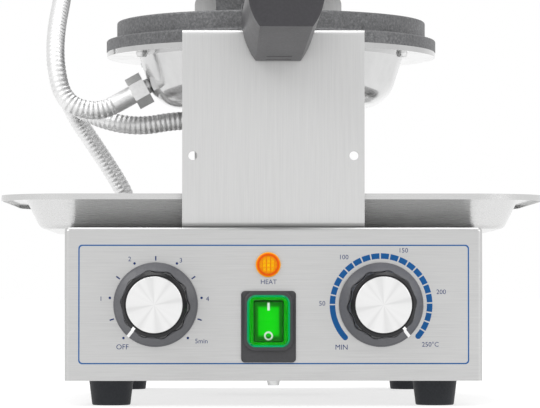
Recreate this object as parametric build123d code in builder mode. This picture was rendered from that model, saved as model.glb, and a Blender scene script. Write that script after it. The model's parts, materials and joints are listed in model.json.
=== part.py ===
from build123d import *

import math
import os

# Waffle cone maker: two hinged round irons that turn over on a heated stand.
# The origin is on the table under the middle of the machine. +Z is up, and the
# control panel and the handles face -Y. Everything is in millimetres.

# ---- driving dimensions ----
BOX_WIDTH = 260.0
BOX_DEPTH = 380.0
BOX_TOP = 111.3
FOOT_HEIGHT = 15.9
SHEET = 1.2
PANEL_Y = -143.0  # outside face of the control panel
BACK_Y = PANEL_Y + BOX_DEPTH

AXIS_Z = 252.0  # the turning axis, and the plane where the irons meet
IRON_Y = 7.0  # centre of the two irons
PIVOT_Y = 142.0  # lid hinge pin
FACE_GAP = 0.3  # from each iron's face to the meeting plane
OPEN_ANGLE = -90.0  # turns the lid from closed to open about +X

FACE_RADIUS = 103.3  # upper tier of an iron
RIM_RADIUS = 110.3  # lower tier of an iron
FACE_STEP = 12.6  # depth of the upper tier below the meeting plane
RIM_DEPTH = 20.5  # underside of the rim below the meeting plane
FLANGE_DEPTH = 24.0  # underside of the dome's flange below the meeting plane
DOME_DEPTH = 57.0  # flat bottom of the dome below the meeting plane
DOME_MOUTH_RADIUS = 88.5
DOME_CORNER_RADIUS = 77.4
DOME_SHEET = 1.2

NECK_RADIUS = 20.0
HANDLE_SKEW = 1.6  # the grips point slightly to the operator's right, in degrees
HANDLE_SKEW_Y = -30.0
HEEL_Y = -135.0
NECK_END_Y = HEEL_Y + 0.8  # clear of the skewed heel
TIP_Y = -254.5

FRONT_BRACKET_WIDTH = 114.3
FRONT_BRACKET_Y = -131.0  # its front face
FRONT_BRACKET_TOP = 235.5
FRONT_BRACKET_SHEET = 2.0
REAR_BRACKET_WIDTH = 108.0
REAR_BRACKET_Y = 201.0  # its front face
REAR_BRACKET_TOP = 292.0
REAR_BRACKET_SHEET = 3.0
FOOT_FLANGE = 26.0

SHAFT_RADIUS = 8.0
PIN_RADIUS = 4.0
RUNNING_GAP = 0.05  # radial clearance of a running fit

TRAY_WIDTH = 350.0
TRAY_DEPTH = 257.0
TRAY_FRONT_Y = -115.0
TRAY_BOTTOM = 111.5
TRAY_TOP = 133.3
TRAY_SHEET = 1.0
TRAY_FLANGE = 14.5  # flat rim around the tray
TRAY_LIP = 3.7  # turned-down edge of the rim
TRAY_SLOPE = 11.0  # how far each wall leans in
TRAY_CORNER = 49.0

CONDUIT_RADIUS = 6.3
FITTING_DROP = 29.0  # the dome fitting points this far below level, in degrees

KNOB_Z = 63.2
TIMER_X = -73.3
THERMOSTAT_X = 66.8
SWITCH_X = -3.2
SWITCH_Z = 53.0
LAMP_X = -3.4
LAMP_Z = 88.0

os.makedirs("parts", exist_ok=True)


def save(piece, label):
    """Labels one finished piece and writes its STEP file."""
    piece.part.label = label
    export_step(piece.part, f"parts/{label}.step")


def front_plane(y):
    """A sketch plane at this Y that faces the operator, with local y up."""
    return Plane.XZ.offset(-y)


def to_open_lid(shape):
    """The lid's copy of a lower piece: mirrored in the meeting plane, then swung open."""
    closed = mirror(shape, about=Plane.XY.offset(AXIS_Z))
    return closed.rotate(Axis((0, PIVOT_Y, AXIS_Z), (1, 0, 0)), OPEN_ANGLE)


def save_both_irons(piece, label):
    """Writes a lower iron's piece, and the lid's copy of it in the open position."""
    save(piece, f"lower_{label}")
    opened = to_open_lid(piece.part)
    with BuildPart() as lid_copy:
        add(opened)
    save(lid_copy, f"lid_{label}")


# ---- base housing: folded sheet, open below ----
PANEL_HOLES = [
    (TIMER_X, KNOB_Z, 5.2),
    (THERMOSTAT_X, KNOB_Z, 5.2),
    (LAMP_X, LAMP_Z, 6.6),
]
SWITCH_CUT_WIDTH = 22.4
SWITCH_CUT_HEIGHT = 30.4
SUPPLY_EXIT = (-101.0, 159.0)
INLET_X = 80.0
INLET_Z = 45.0
INLET_RADIUS = 8.2
BRACKET_SCREW_X = 42.0
FRONT_SCREW_Y = FRONT_BRACKET_Y + 15.0
REAR_SCREW_Y = REAR_BRACKET_Y + 17.0
BRACKET_SCREW_RADIUS = 2.6
SIDE_SCREW_YS = (PANEL_Y + 45.0, BACK_Y - 45.0)
SIDE_SCREW_Z = 23.0
VENT_COUNT = 9
VENT_PITCH = 9.0

with BuildPart() as base_housing:
    with BuildSketch(Plane.XY.offset(FOOT_HEIGHT)):
        with Locations((0, PANEL_Y + BOX_DEPTH / 2)):
            Rectangle(BOX_WIDTH, BOX_DEPTH)
    extrude(amount=BOX_TOP - FOOT_HEIGHT)
    fillet(base_housing.edges().filter_by(Axis.Z), radius=3.0)
    fillet(base_housing.faces().sort_by(Axis.Z)[-1].edges(), radius=2.4)
    offset(amount=-SHEET, openings=base_housing.faces().sort_by(Axis.Z)[0])
    with BuildSketch(front_plane(PANEL_Y)):
        for hole_x, hole_z, hole_radius in PANEL_HOLES:
            with Locations((hole_x, hole_z)):
                Circle(hole_radius)
        with Locations((SWITCH_X, SWITCH_Z)):
            Rectangle(SWITCH_CUT_WIDTH, SWITCH_CUT_HEIGHT)
    extrude(amount=-6.0, mode=Mode.SUBTRACT)
    with BuildSketch(Plane.XY.offset(BOX_TOP)):
        with Locations(SUPPLY_EXIT):
            Circle(8.0)
        for screw_y in (FRONT_SCREW_Y, REAR_SCREW_Y):
            for screw_x in (-BRACKET_SCREW_X, BRACKET_SCREW_X):
                with Locations((screw_x, screw_y)):
                    Circle(BRACKET_SCREW_RADIUS)
    extrude(amount=-4.0, mode=Mode.SUBTRACT)
    with BuildSketch(front_plane(BACK_Y)):
        with Locations((INLET_X, INLET_Z)):
            Circle(INLET_RADIUS)
        with Locations((-30.0, 62.0)):
            with GridLocations(VENT_PITCH, 0, VENT_COUNT, 1):
                SlotOverall(34.0, 4.0, rotation=90)
    extrude(amount=6.0, mode=Mode.SUBTRACT)
    for side in (-1, 1):
        with BuildSketch(Plane.YZ.offset(side * BOX_WIDTH / 2)):
            for screw_y in SIDE_SCREW_YS:
                with Locations((screw_y, SIDE_SCREW_Z)):
                    Circle(2.1)
        extrude(amount=-side * 4.0, mode=Mode.SUBTRACT)
save(base_housing, "base_housing")

# ---- bottom plate: a shallow tray of sheet inside the housing ----
FIT = 0.3
FOOT_X = 102.0
FOOT_YS = (PANEL_Y + 30.0, BACK_Y - 30.0)
FOOT_SCREW_RADIUS = 2.4
PLATE_RIM = 13.0
EARTH_SCREW_Y = PANEL_Y + 14.0
PLATE_WIDTH = BOX_WIDTH - 2 * (SHEET + FIT)
PLATE_DEPTH = BOX_DEPTH - 2 * (SHEET + FIT)

with BuildPart() as bottom_plate:
    with BuildSketch(Plane.XY.offset(FOOT_HEIGHT)):
        with Locations((0, PANEL_Y + BOX_DEPTH / 2)):
            RectangleRounded(PLATE_WIDTH, PLATE_DEPTH, 2.0)
    extrude(amount=PLATE_RIM)
    offset(amount=-SHEET, openings=bottom_plate.faces().sort_by(Axis.Z)[-1])
    with BuildSketch(Plane.XY.offset(FOOT_HEIGHT)):
        for foot_y in FOOT_YS:
            for foot_x in (-FOOT_X, FOOT_X):
                with Locations((foot_x, foot_y)):
                    Circle(FOOT_SCREW_RADIUS)
        with Locations((0, EARTH_SCREW_Y)):
            Circle(2.1)
        with Locations((0, PANEL_Y + BOX_DEPTH * 0.6)):
            with GridLocations(VENT_PITCH, 0, VENT_COUNT, 1):
                SlotOverall(60.0, 4.0, rotation=90)
    extrude(amount=3.0, mode=Mode.SUBTRACT)
    for side in (-1, 1):
        with BuildSketch(Plane.YZ.offset(side * PLATE_WIDTH / 2)):
            for screw_y in SIDE_SCREW_YS:
                with Locations((screw_y, SIDE_SCREW_Z)):
                    Circle(1.6)
        extrude(amount=-side * 3.0, mode=Mode.SUBTRACT)
save(bottom_plate, "bottom_plate")

# ---- side screws that hold the bottom plate, and the earth screw under its front ----
with BuildPart() as housing_screws:
    for side in (-1, 1):
        with BuildSketch(Plane.YZ.offset(side * BOX_WIDTH / 2)):
            for screw_y in SIDE_SCREW_YS:
                with Locations((screw_y, SIDE_SCREW_Z)):
                    Circle(3.6)
        extrude(amount=side * 2.0, taper=18)
        with BuildSketch(Plane.YZ.offset(side * BOX_WIDTH / 2)):
            for screw_y in SIDE_SCREW_YS:
                with Locations((screw_y, SIDE_SCREW_Z)):
                    Circle(1.6)
        extrude(amount=-side * 9.0)
    with BuildSketch(Plane.XY.offset(FOOT_HEIGHT)):
        with Locations((0, EARTH_SCREW_Y)):
            Circle(4.2)
    extrude(amount=-3.2, taper=12)
    with BuildSketch(Plane.XY.offset(FOOT_HEIGHT)):
        with Locations((0, EARTH_SCREW_Y)):
            Circle(2.0)
    extrude(amount=10.0)
    with BuildSketch(Plane.XY.offset(FOOT_HEIGHT + SHEET)):
        with Locations((0, EARTH_SCREW_Y)):
            RegularPolygon(3.9, 6)
    extrude(amount=3.2)
save(housing_screws, "housing_screws")

# ---- four rubber feet and their screws ----
FOOT_TOP_RADIUS = 14.0
FOOT_BOTTOM_RADIUS = 12.0
FOOT_WELL_RADIUS = 5.5
FOOT_WELL = 9.0
FOOT_NAMES = ["foot_front_left", "foot_front_right", "foot_rear_left", "foot_rear_right"]
foot_places = [(x, y) for y in FOOT_YS for x in (-FOOT_X, FOOT_X)]

for foot_name, (foot_x, foot_y) in zip(FOOT_NAMES, foot_places):
    with BuildPart() as foot:
        with BuildSketch(Plane.XY):
            with Locations((foot_x, foot_y)):
                Circle(FOOT_BOTTOM_RADIUS)
        with BuildSketch(Plane.XY.offset(FOOT_HEIGHT)):
            with Locations((foot_x, foot_y)):
                Circle(FOOT_TOP_RADIUS)
        loft()
        fillet(foot.faces().sort_by(Axis.Z)[0].edges(), radius=1.0)
        with BuildSketch(Plane.XY):
            with Locations((foot_x, foot_y)):
                Circle(FOOT_WELL_RADIUS)
        extrude(amount=FOOT_WELL, mode=Mode.SUBTRACT)
        with BuildSketch(Plane.XY):
            with Locations((foot_x, foot_y)):
                Circle(FOOT_SCREW_RADIUS)
        extrude(amount=FOOT_HEIGHT, mode=Mode.SUBTRACT)
    save(foot, foot_name)

with BuildPart() as foot_screws:
    for foot_x, foot_y in foot_places:
        with BuildSketch(Plane.XY.offset(FOOT_WELL)):
            with Locations((foot_x, foot_y)):
                Circle(4.4)
        extrude(amount=-3.0)
        with BuildSketch(Plane.XY.offset(FOOT_WELL)):
            with Locations((foot_x, foot_y)):
                Circle(FOOT_SCREW_RADIUS)
        extrude(amount=FOOT_HEIGHT + SHEET + 5.0 - FOOT_WELL)
        with BuildSketch(Plane.XY.offset(FOOT_HEIGHT + SHEET)):
            with Locations((foot_x, foot_y)):
                RegularPolygon(4.4, 6)
        extrude(amount=3.5)
save(foot_screws, "foot_screws")

# ---- front bracket: folded sheet with a notch that cradles the neck ----
bracket_back = FRONT_BRACKET_Y + FRONT_BRACKET_SHEET
NOTCH_RADIUS = NECK_RADIUS + 0.4
BEND_RADIUS = 3.5
TOP_FLANGE = 18.0
BRACKET_HOLE_X = 50.5
BRACKET_HOLE_Z = 156.5
BRACKET_HOLE_RADIUS = 2.8

with BuildPart() as front_bracket:
    with BuildSketch(Plane.YZ.offset(-FRONT_BRACKET_WIDTH / 2)) as bracket_profile:
        with BuildLine():
            FilletPolyline(
                (FRONT_BRACKET_Y + FOOT_FLANGE, BOX_TOP),
                (FRONT_BRACKET_Y, BOX_TOP),
                (FRONT_BRACKET_Y, FRONT_BRACKET_TOP),
                (FRONT_BRACKET_Y + TOP_FLANGE, FRONT_BRACKET_TOP),
                radius=BEND_RADIUS,
            )
            Line(
                (FRONT_BRACKET_Y + TOP_FLANGE, FRONT_BRACKET_TOP),
                (FRONT_BRACKET_Y + TOP_FLANGE, FRONT_BRACKET_TOP - FRONT_BRACKET_SHEET),
            )
            FilletPolyline(
                (FRONT_BRACKET_Y + TOP_FLANGE, FRONT_BRACKET_TOP - FRONT_BRACKET_SHEET),
                (bracket_back, FRONT_BRACKET_TOP - FRONT_BRACKET_SHEET),
                (bracket_back, BOX_TOP + FRONT_BRACKET_SHEET),
                (FRONT_BRACKET_Y + FOOT_FLANGE, BOX_TOP + FRONT_BRACKET_SHEET),
                radius=BEND_RADIUS - FRONT_BRACKET_SHEET,
            )
            Line(
                (FRONT_BRACKET_Y + FOOT_FLANGE, BOX_TOP + FRONT_BRACKET_SHEET),
                (FRONT_BRACKET_Y + FOOT_FLANGE, BOX_TOP),
            )
        make_face()
    extrude(amount=FRONT_BRACKET_WIDTH)
    with BuildSketch(front_plane(FRONT_BRACKET_Y - 5.0)):
        with Locations((0, AXIS_Z)):
            Circle(NOTCH_RADIUS)
        with Locations((-BRACKET_HOLE_X, BRACKET_HOLE_Z), (BRACKET_HOLE_X, BRACKET_HOLE_Z)):
            Circle(BRACKET_HOLE_RADIUS)
    extrude(amount=-(TOP_FLANGE + 20.0), mode=Mode.SUBTRACT)
    with BuildSketch(Plane.XY.offset(BOX_TOP)):
        with Locations((-BRACKET_SCREW_X, FRONT_SCREW_Y), (BRACKET_SCREW_X, FRONT_SCREW_Y)):
            Circle(BRACKET_SCREW_RADIUS)
    extrude(amount=6.0, mode=Mode.SUBTRACT)
save(front_bracket, "front_bracket")

# ---- rear bracket: folded sheet that carries the turn bearing ----
rear_back = REAR_BRACKET_Y + REAR_BRACKET_SHEET
BEARING_BOLT_X = 27.0
BEARING_BOLT_RADIUS = 3.1

with BuildPart() as rear_bracket:
    with BuildSketch(Plane.YZ.offset(-REAR_BRACKET_WIDTH / 2)):
        with BuildLine():
            FilletPolyline(
                (REAR_BRACKET_Y, REAR_BRACKET_TOP),
                (REAR_BRACKET_Y, BOX_TOP),
                (rear_back + FOOT_FLANGE, BOX_TOP),
                radius=BEND_RADIUS + REAR_BRACKET_SHEET - 2.0,
            )
            Line(
                (rear_back + FOOT_FLANGE, BOX_TOP),
                (rear_back + FOOT_FLANGE, BOX_TOP + REAR_BRACKET_SHEET),
            )
            FilletPolyline(
                (rear_back + FOOT_FLANGE, BOX_TOP + REAR_BRACKET_SHEET),
                (rear_back, BOX_TOP + REAR_BRACKET_SHEET),
                (rear_back, REAR_BRACKET_TOP),
                radius=BEND_RADIUS - 2.0,
            )
            Line((rear_back, REAR_BRACKET_TOP), (REAR_BRACKET_Y, REAR_BRACKET_TOP))
        make_face()
    extrude(amount=REAR_BRACKET_WIDTH)
    top_corners = rear_bracket.edges().filter_by(Axis.Y).group_by(Axis.Z)[-1]
    fillet(top_corners, radius=10.0)
    with BuildSketch(front_plane(REAR_BRACKET_Y - 5.0)):
        with Locations((0, AXIS_Z)):
            Circle(SHAFT_RADIUS + 2.0)
        with Locations((-BEARING_BOLT_X, AXIS_Z), (BEARING_BOLT_X, AXIS_Z)):
            Circle(BEARING_BOLT_RADIUS)
    extrude(amount=-14.0, mode=Mode.SUBTRACT)
    with BuildSketch(Plane.XY.offset(BOX_TOP)):
        with Locations((-BRACKET_SCREW_X, REAR_SCREW_Y), (BRACKET_SCREW_X, REAR_SCREW_Y)):
            Circle(BRACKET_SCREW_RADIUS)
    extrude(amount=6.0, mode=Mode.SUBTRACT)
save(rear_bracket, "rear_bracket")


bracket_feet = [(FRONT_SCREW_Y, FRONT_BRACKET_SHEET), (REAR_SCREW_Y, REAR_BRACKET_SHEET)]

with BuildPart() as bracket_screws:
    for screw_y, flange_thickness in bracket_feet:
        seat = BOX_TOP + flange_thickness
        screw_places = [(-BRACKET_SCREW_X, screw_y), (BRACKET_SCREW_X, screw_y)]
        with BuildSketch(Plane.XY.offset(seat)):
            with Locations(screw_places):
                RegularPolygon(4.6, 6)
        extrude(amount=3.4)
        with BuildSketch(Plane.XY.offset(BOX_TOP - SHEET - 7.0)):
            with Locations(screw_places):
                Circle(2.5)
        extrude(amount=seat - BOX_TOP + SHEET + 7.0)
        with BuildSketch(Plane.XY.offset(BOX_TOP - SHEET)):
            with Locations(screw_places):
                RegularPolygon(4.6, 6)
        extrude(amount=-4.0)
save(bracket_screws, "bracket_screws")

# ---- turn bearing on the back of the rear bracket ----
BEARING_LENGTH = 16.0
BEARING_RADIUS = 17.0
BEARING_FLANGE = 5.0

with BuildPart() as turn_bearing:
    with BuildSketch(front_plane(rear_back)):
        with Locations((0, AXIS_Z)):
            SlotOverall(2 * BEARING_BOLT_X + 18.0, 34.0)
    extrude(amount=-BEARING_FLANGE)
    with BuildSketch(front_plane(rear_back)):
        with Locations((0, AXIS_Z)):
            Circle(BEARING_RADIUS)
    extrude(amount=-BEARING_LENGTH)
    with BuildSketch(front_plane(rear_back)):
        with Locations((0, AXIS_Z)):
            Circle(SHAFT_RADIUS + RUNNING_GAP)
        with Locations((-BEARING_BOLT_X, AXIS_Z), (BEARING_BOLT_X, AXIS_Z)):
            Circle(BEARING_BOLT_RADIUS)
    extrude(amount=-BEARING_LENGTH, mode=Mode.SUBTRACT)
save(turn_bearing, "turn_bearing")

with BuildPart() as bearing_bolts:
    for bolt_x in (-BEARING_BOLT_X, BEARING_BOLT_X):
        with BuildSketch(front_plane(REAR_BRACKET_Y)):
            with Locations((bolt_x, AXIS_Z)):
                RegularPolygon(5.6, 6)
        extrude(amount=4.0)
        with BuildSketch(front_plane(REAR_BRACKET_Y)):
            with Locations((bolt_x, AXIS_Z)):
                Circle(3.0)
        extrude(amount=-16.0)
        with BuildSketch(front_plane(rear_back + BEARING_FLANGE)):
            with Locations((bolt_x, AXIS_Z)):
                RegularPolygon(5.6, 6)
        extrude(amount=-5.0)
save(bearing_bolts, "bearing_bolts")

# ---- drip tray ----
TRAY_RISE = TRAY_TOP - TRAY_BOTTOM
TRAY_MID_Y = TRAY_FRONT_Y + TRAY_DEPTH / 2
TRAY_LEAN = math.degrees(math.atan(TRAY_SLOPE / TRAY_RISE))
floor_inset = TRAY_FLANGE + TRAY_SLOPE
floor_width = TRAY_WIDTH - 2 * floor_inset
floor_depth = TRAY_DEPTH - 2 * floor_inset

with BuildPart() as drip_tray:
    with BuildSketch(Plane.XY.offset(TRAY_BOTTOM)):
        with Locations((0, TRAY_MID_Y)):
            RectangleRounded(floor_width, floor_depth, TRAY_CORNER - floor_inset)
    extrude(amount=TRAY_RISE, taper=-TRAY_LEAN)
    fillet(drip_tray.faces().sort_by(Axis.Z)[0].edges(), radius=6.0)
    with BuildSketch(Plane.XY.offset(TRAY_TOP)):
        with Locations((0, TRAY_MID_Y)):
            RectangleRounded(TRAY_WIDTH, TRAY_DEPTH, TRAY_CORNER)
    extrude(amount=-TRAY_SHEET)
    with BuildSketch(Plane.XY.offset(TRAY_TOP)):
        with Locations((0, TRAY_MID_Y)):
            RectangleRounded(TRAY_WIDTH, TRAY_DEPTH, TRAY_CORNER)
            lip_hole = TRAY_WIDTH - 2 * TRAY_SHEET, TRAY_DEPTH - 2 * TRAY_SHEET
            RectangleRounded(*lip_hole, TRAY_CORNER - TRAY_SHEET, mode=Mode.SUBTRACT)
    extrude(amount=-TRAY_LIP)
    with BuildSketch(Plane.XY.offset(TRAY_TOP)):
        with Locations((0, TRAY_MID_Y)):
            mouth = 2 * (TRAY_FLANGE + TRAY_SHEET)
            mouth_corner = TRAY_CORNER - TRAY_FLANGE - TRAY_SHEET
            RectangleRounded(TRAY_WIDTH - mouth, TRAY_DEPTH - mouth, mouth_corner)
    extrude(amount=-(TRAY_RISE - TRAY_SHEET), taper=TRAY_LEAN, mode=Mode.SUBTRACT)
save(drip_tray, "drip_tray")

# ---- controls: two knobs with aluminium caps ----
KNOB_SKIRT_RADIUS = 26.2
KNOB_GRIP_RADIUS = 20.6
KNOB_CAP_RADIUS = 17.3
KNOB_HEIGHT = 35.0
KNOB_STANDOFF = 0.8
KNOB_FLUTES = 10
KNOB_FLUTE_RADIUS = 16.0
KNOB_FLUTE_DEPTH = 1.0
SPINDLE_RADIUS = 3.0
TIMER_POINTER = -139.0  # pointer angles, clockwise from straight up
THERMOSTAT_POINTER = 138.5


def make_knob(label, knob_x, pointer):
    """A skirted, fluted control knob that presses onto its spindle, and its cap."""
    skirt_y = PANEL_Y - KNOB_STANDOFF
    cap_y = PANEL_Y - KNOB_HEIGHT
    with BuildPart() as knob:
        with BuildSketch(Plane.YZ.offset(knob_x)):
            with BuildLine():
                Polyline(
                    (skirt_y, KNOB_Z),
                    (skirt_y, KNOB_Z + KNOB_SKIRT_RADIUS),
                    (skirt_y - 2.4, KNOB_Z + KNOB_SKIRT_RADIUS),
                    (skirt_y - 4.0, KNOB_Z + KNOB_SKIRT_RADIUS - 1.2),
                )
                Line(
                    (skirt_y - 4.0, KNOB_Z + KNOB_SKIRT_RADIUS - 1.2),
                    (skirt_y - 12.0, KNOB_Z + KNOB_GRIP_RADIUS + 0.4),
                )
                Polyline(
                    (skirt_y - 12.0, KNOB_Z + KNOB_GRIP_RADIUS + 0.4),
                    (cap_y + 3.6, KNOB_Z + KNOB_GRIP_RADIUS - 0.4),
                    (cap_y + 1.2, KNOB_Z + KNOB_GRIP_RADIUS - 2.2),
                    (cap_y + 1.2, KNOB_Z),
                    (skirt_y, KNOB_Z),
                )
            make_face()
        revolve(axis=Axis((knob_x, 0, KNOB_Z), (0, 1, 0)))
        with BuildSketch(front_plane(cap_y)):
            with Locations((knob_x, KNOB_Z)):
                flute_centre = KNOB_GRIP_RADIUS + KNOB_FLUTE_RADIUS - KNOB_FLUTE_DEPTH
                with PolarLocations(flute_centre, KNOB_FLUTES, start_angle=18.0 - pointer):
                    Circle(KNOB_FLUTE_RADIUS)
        extrude(amount=-(KNOB_HEIGHT - 13.0), mode=Mode.SUBTRACT)
        with BuildSketch(front_plane(skirt_y)):
            with Locations((knob_x, KNOB_Z)):
                Circle(KNOB_SKIRT_RADIUS - 2.6)
                Circle(7.0, mode=Mode.SUBTRACT)
        extrude(amount=3.0, mode=Mode.SUBTRACT)
        with BuildSketch(front_plane(skirt_y)):
            with Locations((knob_x, KNOB_Z)):
                Circle(SPINDLE_RADIUS)
        extrude(amount=16.0, mode=Mode.SUBTRACT)
    save(knob, f"{label}_knob")

    with BuildPart() as cap:
        with BuildSketch(front_plane(cap_y + 1.2)):
            with Locations((knob_x, KNOB_Z)):
                Circle(KNOB_CAP_RADIUS)
        extrude(amount=1.2)
        fillet(cap.faces().sort_by(Axis.Y)[0].edges(), radius=0.6)
    save(cap, f"{label}_knob_cap")

    with BuildPart() as spindle:
        with BuildSketch(front_plane(skirt_y - 16.0)):
            with Locations((knob_x, KNOB_Z)):
                Circle(SPINDLE_RADIUS)
        extrude(amount=-(16.0 + KNOB_STANDOFF + 20.0))
    save(spindle, f"{label}_spindle")


make_knob("timer", TIMER_X, TIMER_POINTER)
make_knob("thermostat", THERMOSTAT_X, THERMOSTAT_POINTER)


def make_control_unit(label, unit_x, body_width, body_height, body_depth):
    """A panel-mounted control with a collar through the panel and a bored spindle way."""
    inside = PANEL_Y + SHEET
    with BuildPart() as unit:
        with BuildSketch(front_plane(inside)):
            with Locations((unit_x, KNOB_Z)):
                RectangleRounded(body_width, body_height, 3.0)
        extrude(amount=-body_depth)
        with BuildSketch(front_plane(inside)):
            with Locations((unit_x, KNOB_Z)):
                Circle(5.0)
        extrude(amount=SHEET)
        with BuildSketch(front_plane(inside - SHEET)):
            with Locations((unit_x, KNOB_Z)):
                Circle(SPINDLE_RADIUS + RUNNING_GAP)
        extrude(amount=-(SHEET + 20.5), mode=Mode.SUBTRACT)
        with BuildSketch(front_plane(inside + body_depth)):
            with Locations((unit_x, KNOB_Z)):
                with GridLocations(12.0, 0, 3, 1):
                    Rectangle(1.0, 6.3)
        extrude(amount=-8.0)
    save(unit, label)


make_control_unit("timer_unit", TIMER_X, 48.0, 48.0, 30.0)
make_control_unit("thermostat_unit", THERMOSTAT_X, 38.0, 44.0, 26.0)

# ---- heat lamp ----
with BuildPart() as lamp_body:
    with BuildSketch(front_plane(PANEL_Y)):
        with Locations((LAMP_X, LAMP_Z)):
            Circle(6.4)
    extrude(amount=-26.0)
    with BuildSketch(front_plane(PANEL_Y + SHEET)):
        with Locations((LAMP_X, LAMP_Z)):
            RegularPolygon(8.4, 6)
            Circle(6.4, mode=Mode.SUBTRACT)
    extrude(amount=-4.0)
    with BuildSketch(front_plane(PANEL_Y + 26.0)):
        with Locations((LAMP_X, LAMP_Z)):
            with GridLocations(6.0, 0, 2, 1):
                Rectangle(1.0, 4.8)
    extrude(amount=-7.0)
save(lamp_body, "lamp_body")

LAMP_RADIUS = 7.8
with BuildPart() as lamp_lens:
    with BuildSketch(front_plane(PANEL_Y)):
        with Locations((LAMP_X, LAMP_Z)):
            Circle(LAMP_RADIUS)
    extrude(amount=4.2)
    fillet(lamp_lens.faces().sort_by(Axis.Y)[0].edges(), radius=1.8)
save(lamp_lens, "lamp_lens")

# ---- lit rocker switch under a soft splash cover ----
FRAME_WIDTH = 34.0
FRAME_HEIGHT = 44.4
FRAME_THICKNESS = 3.0
WINDOW_WIDTH = 26.8
WINDOW_HEIGHT = 32.4
FRAME_DROP = 3.5  # the frame reaches further down than up from its window
ROCKER_WIDTH = 17.6
ROCKER_HEIGHT = 24.6
ROCKER_FRONT_Y = PANEL_Y - 2.6
ROCKER_PIVOT_Y = PANEL_Y + 1.0
ROCKER_TILT = 7.0  # the lower half is pressed in, which is off
ROCKER_HOLLOW = 1.5

with BuildPart() as switch_frame:
    with BuildSketch(front_plane(PANEL_Y)):
        with Locations((SWITCH_X, SWITCH_Z - FRAME_DROP)):
            RectangleRounded(FRAME_WIDTH, FRAME_HEIGHT, 2.4)
    extrude(amount=FRAME_THICKNESS)
    chamfer(switch_frame.faces().sort_by(Axis.Y)[0].edges(), length=0.8)
    with BuildSketch(front_plane(PANEL_Y - FRAME_THICKNESS)):
        with Locations((SWITCH_X, SWITCH_Z)):
            RectangleRounded(WINDOW_WIDTH + 4.0, WINDOW_HEIGHT + 4.6, 7.0)
    extrude(amount=2.4)
    fillet(switch_frame.faces().sort_by(Axis.Y)[0].edges(), radius=0.9)
    with BuildSketch(front_plane(PANEL_Y)):
        with Locations((SWITCH_X, SWITCH_Z)):
            RectangleRounded(WINDOW_WIDTH, WINDOW_HEIGHT, 5.4)
    extrude(amount=8.0, mode=Mode.SUBTRACT)
save(switch_frame, "switch_frame")

with BuildPart() as switch_body:
    with BuildSketch(front_plane(PANEL_Y)):
        with Locations((SWITCH_X, SWITCH_Z)):
            Rectangle(SWITCH_CUT_WIDTH - 0.4, SWITCH_CUT_HEIGHT - 0.4)
    extrude(amount=-24.0)
    with BuildSketch(front_plane(PANEL_Y)):
        with Locations((SWITCH_X, SWITCH_Z)):
            Rectangle(ROCKER_WIDTH + 0.8, ROCKER_HEIGHT + 1.6)
    extrude(amount=-10.0, mode=Mode.SUBTRACT)
    with BuildSketch(front_plane(PANEL_Y + 24.0)):
        with Locations((SWITCH_X, SWITCH_Z)):
            with GridLocations(10.0, 8.0, 2, 3):
                Rectangle(0.8, 6.3)
    extrude(amount=-8.0)
save(switch_body, "switch_body")

with BuildPart() as level_rocker:
    with BuildSketch(Plane.YZ.offset(SWITCH_X - ROCKER_WIDTH / 2)):
        with BuildLine():
            half = ROCKER_HEIGHT / 2
            Polyline(
                (PANEL_Y + 1.5, SWITCH_Z - half),
                (ROCKER_FRONT_Y, SWITCH_Z - half),
                (ROCKER_FRONT_Y + ROCKER_HOLLOW, SWITCH_Z),
                (ROCKER_FRONT_Y, SWITCH_Z + half),
                (PANEL_Y + 1.5, SWITCH_Z + half),
            )
            ThreePointArc(
                (PANEL_Y + 1.5, SWITCH_Z + half),
                (PANEL_Y + 7.5, SWITCH_Z),
                (PANEL_Y + 1.5, SWITCH_Z - half),
            )
        make_face()
    extrude(amount=ROCKER_WIDTH)
rocker_axis = Axis((SWITCH_X, ROCKER_PIVOT_Y, SWITCH_Z), (1, 0, 0))
tilted_rocker = level_rocker.part.rotate(rocker_axis, ROCKER_TILT)
with BuildPart() as rocker_button:
    add(tilted_rocker)
save(rocker_button, "rocker_button")

COVER_HEIGHT = 8.2
COVER_WALL = 1.2
with BuildPart() as switch_cover:
    with BuildSketch(front_plane(PANEL_Y)):
        with Locations((SWITCH_X, SWITCH_Z)):
            RectangleRounded(WINDOW_WIDTH - 0.2, WINDOW_HEIGHT - 0.2, 5.3)
    extrude(amount=COVER_HEIGHT)
    fillet(switch_cover.faces().sort_by(Axis.Y)[0].edges(), radius=3.0)
    with BuildSketch(front_plane(PANEL_Y)):
        with Locations((SWITCH_X, SWITCH_Z)):
            cover_inside = WINDOW_WIDTH - 2 * COVER_WALL, WINDOW_HEIGHT - 2 * COVER_WALL
            RectangleRounded(*cover_inside, 4.2)
    extrude(amount=COVER_HEIGHT - COVER_WALL, mode=Mode.SUBTRACT)
save(switch_cover, "switch_cover")

# ---- mains inlet gland and terminal block ----
with BuildPart() as cable_gland:
    with BuildSketch(front_plane(BACK_Y)):
        with Locations((INLET_X, INLET_Z)):
            RegularPolygon(13.0, 6)
    extrude(amount=-6.0)
    with BuildSketch(front_plane(BACK_Y + 6.0)):
        with Locations((INLET_X, INLET_Z)):
            Circle(11.5)
    extrude(amount=-12.0, taper=8)
    with BuildSketch(front_plane(BACK_Y - SHEET)):
        with Locations((INLET_X, INLET_Z)):
            Circle(INLET_RADIUS)
    extrude(amount=-SHEET)
    with BuildSketch(front_plane(BACK_Y - SHEET)):
        with Locations((INLET_X, INLET_Z)):
            RegularPolygon(12.0, 6)
    extrude(amount=5.0)
    with BuildSketch(front_plane(BACK_Y - 20.0)):
        with Locations((INLET_X, INLET_Z)):
            Circle(4.6)
    extrude(amount=-50.0, mode=Mode.SUBTRACT)
save(cable_gland, "cable_gland")

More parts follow.
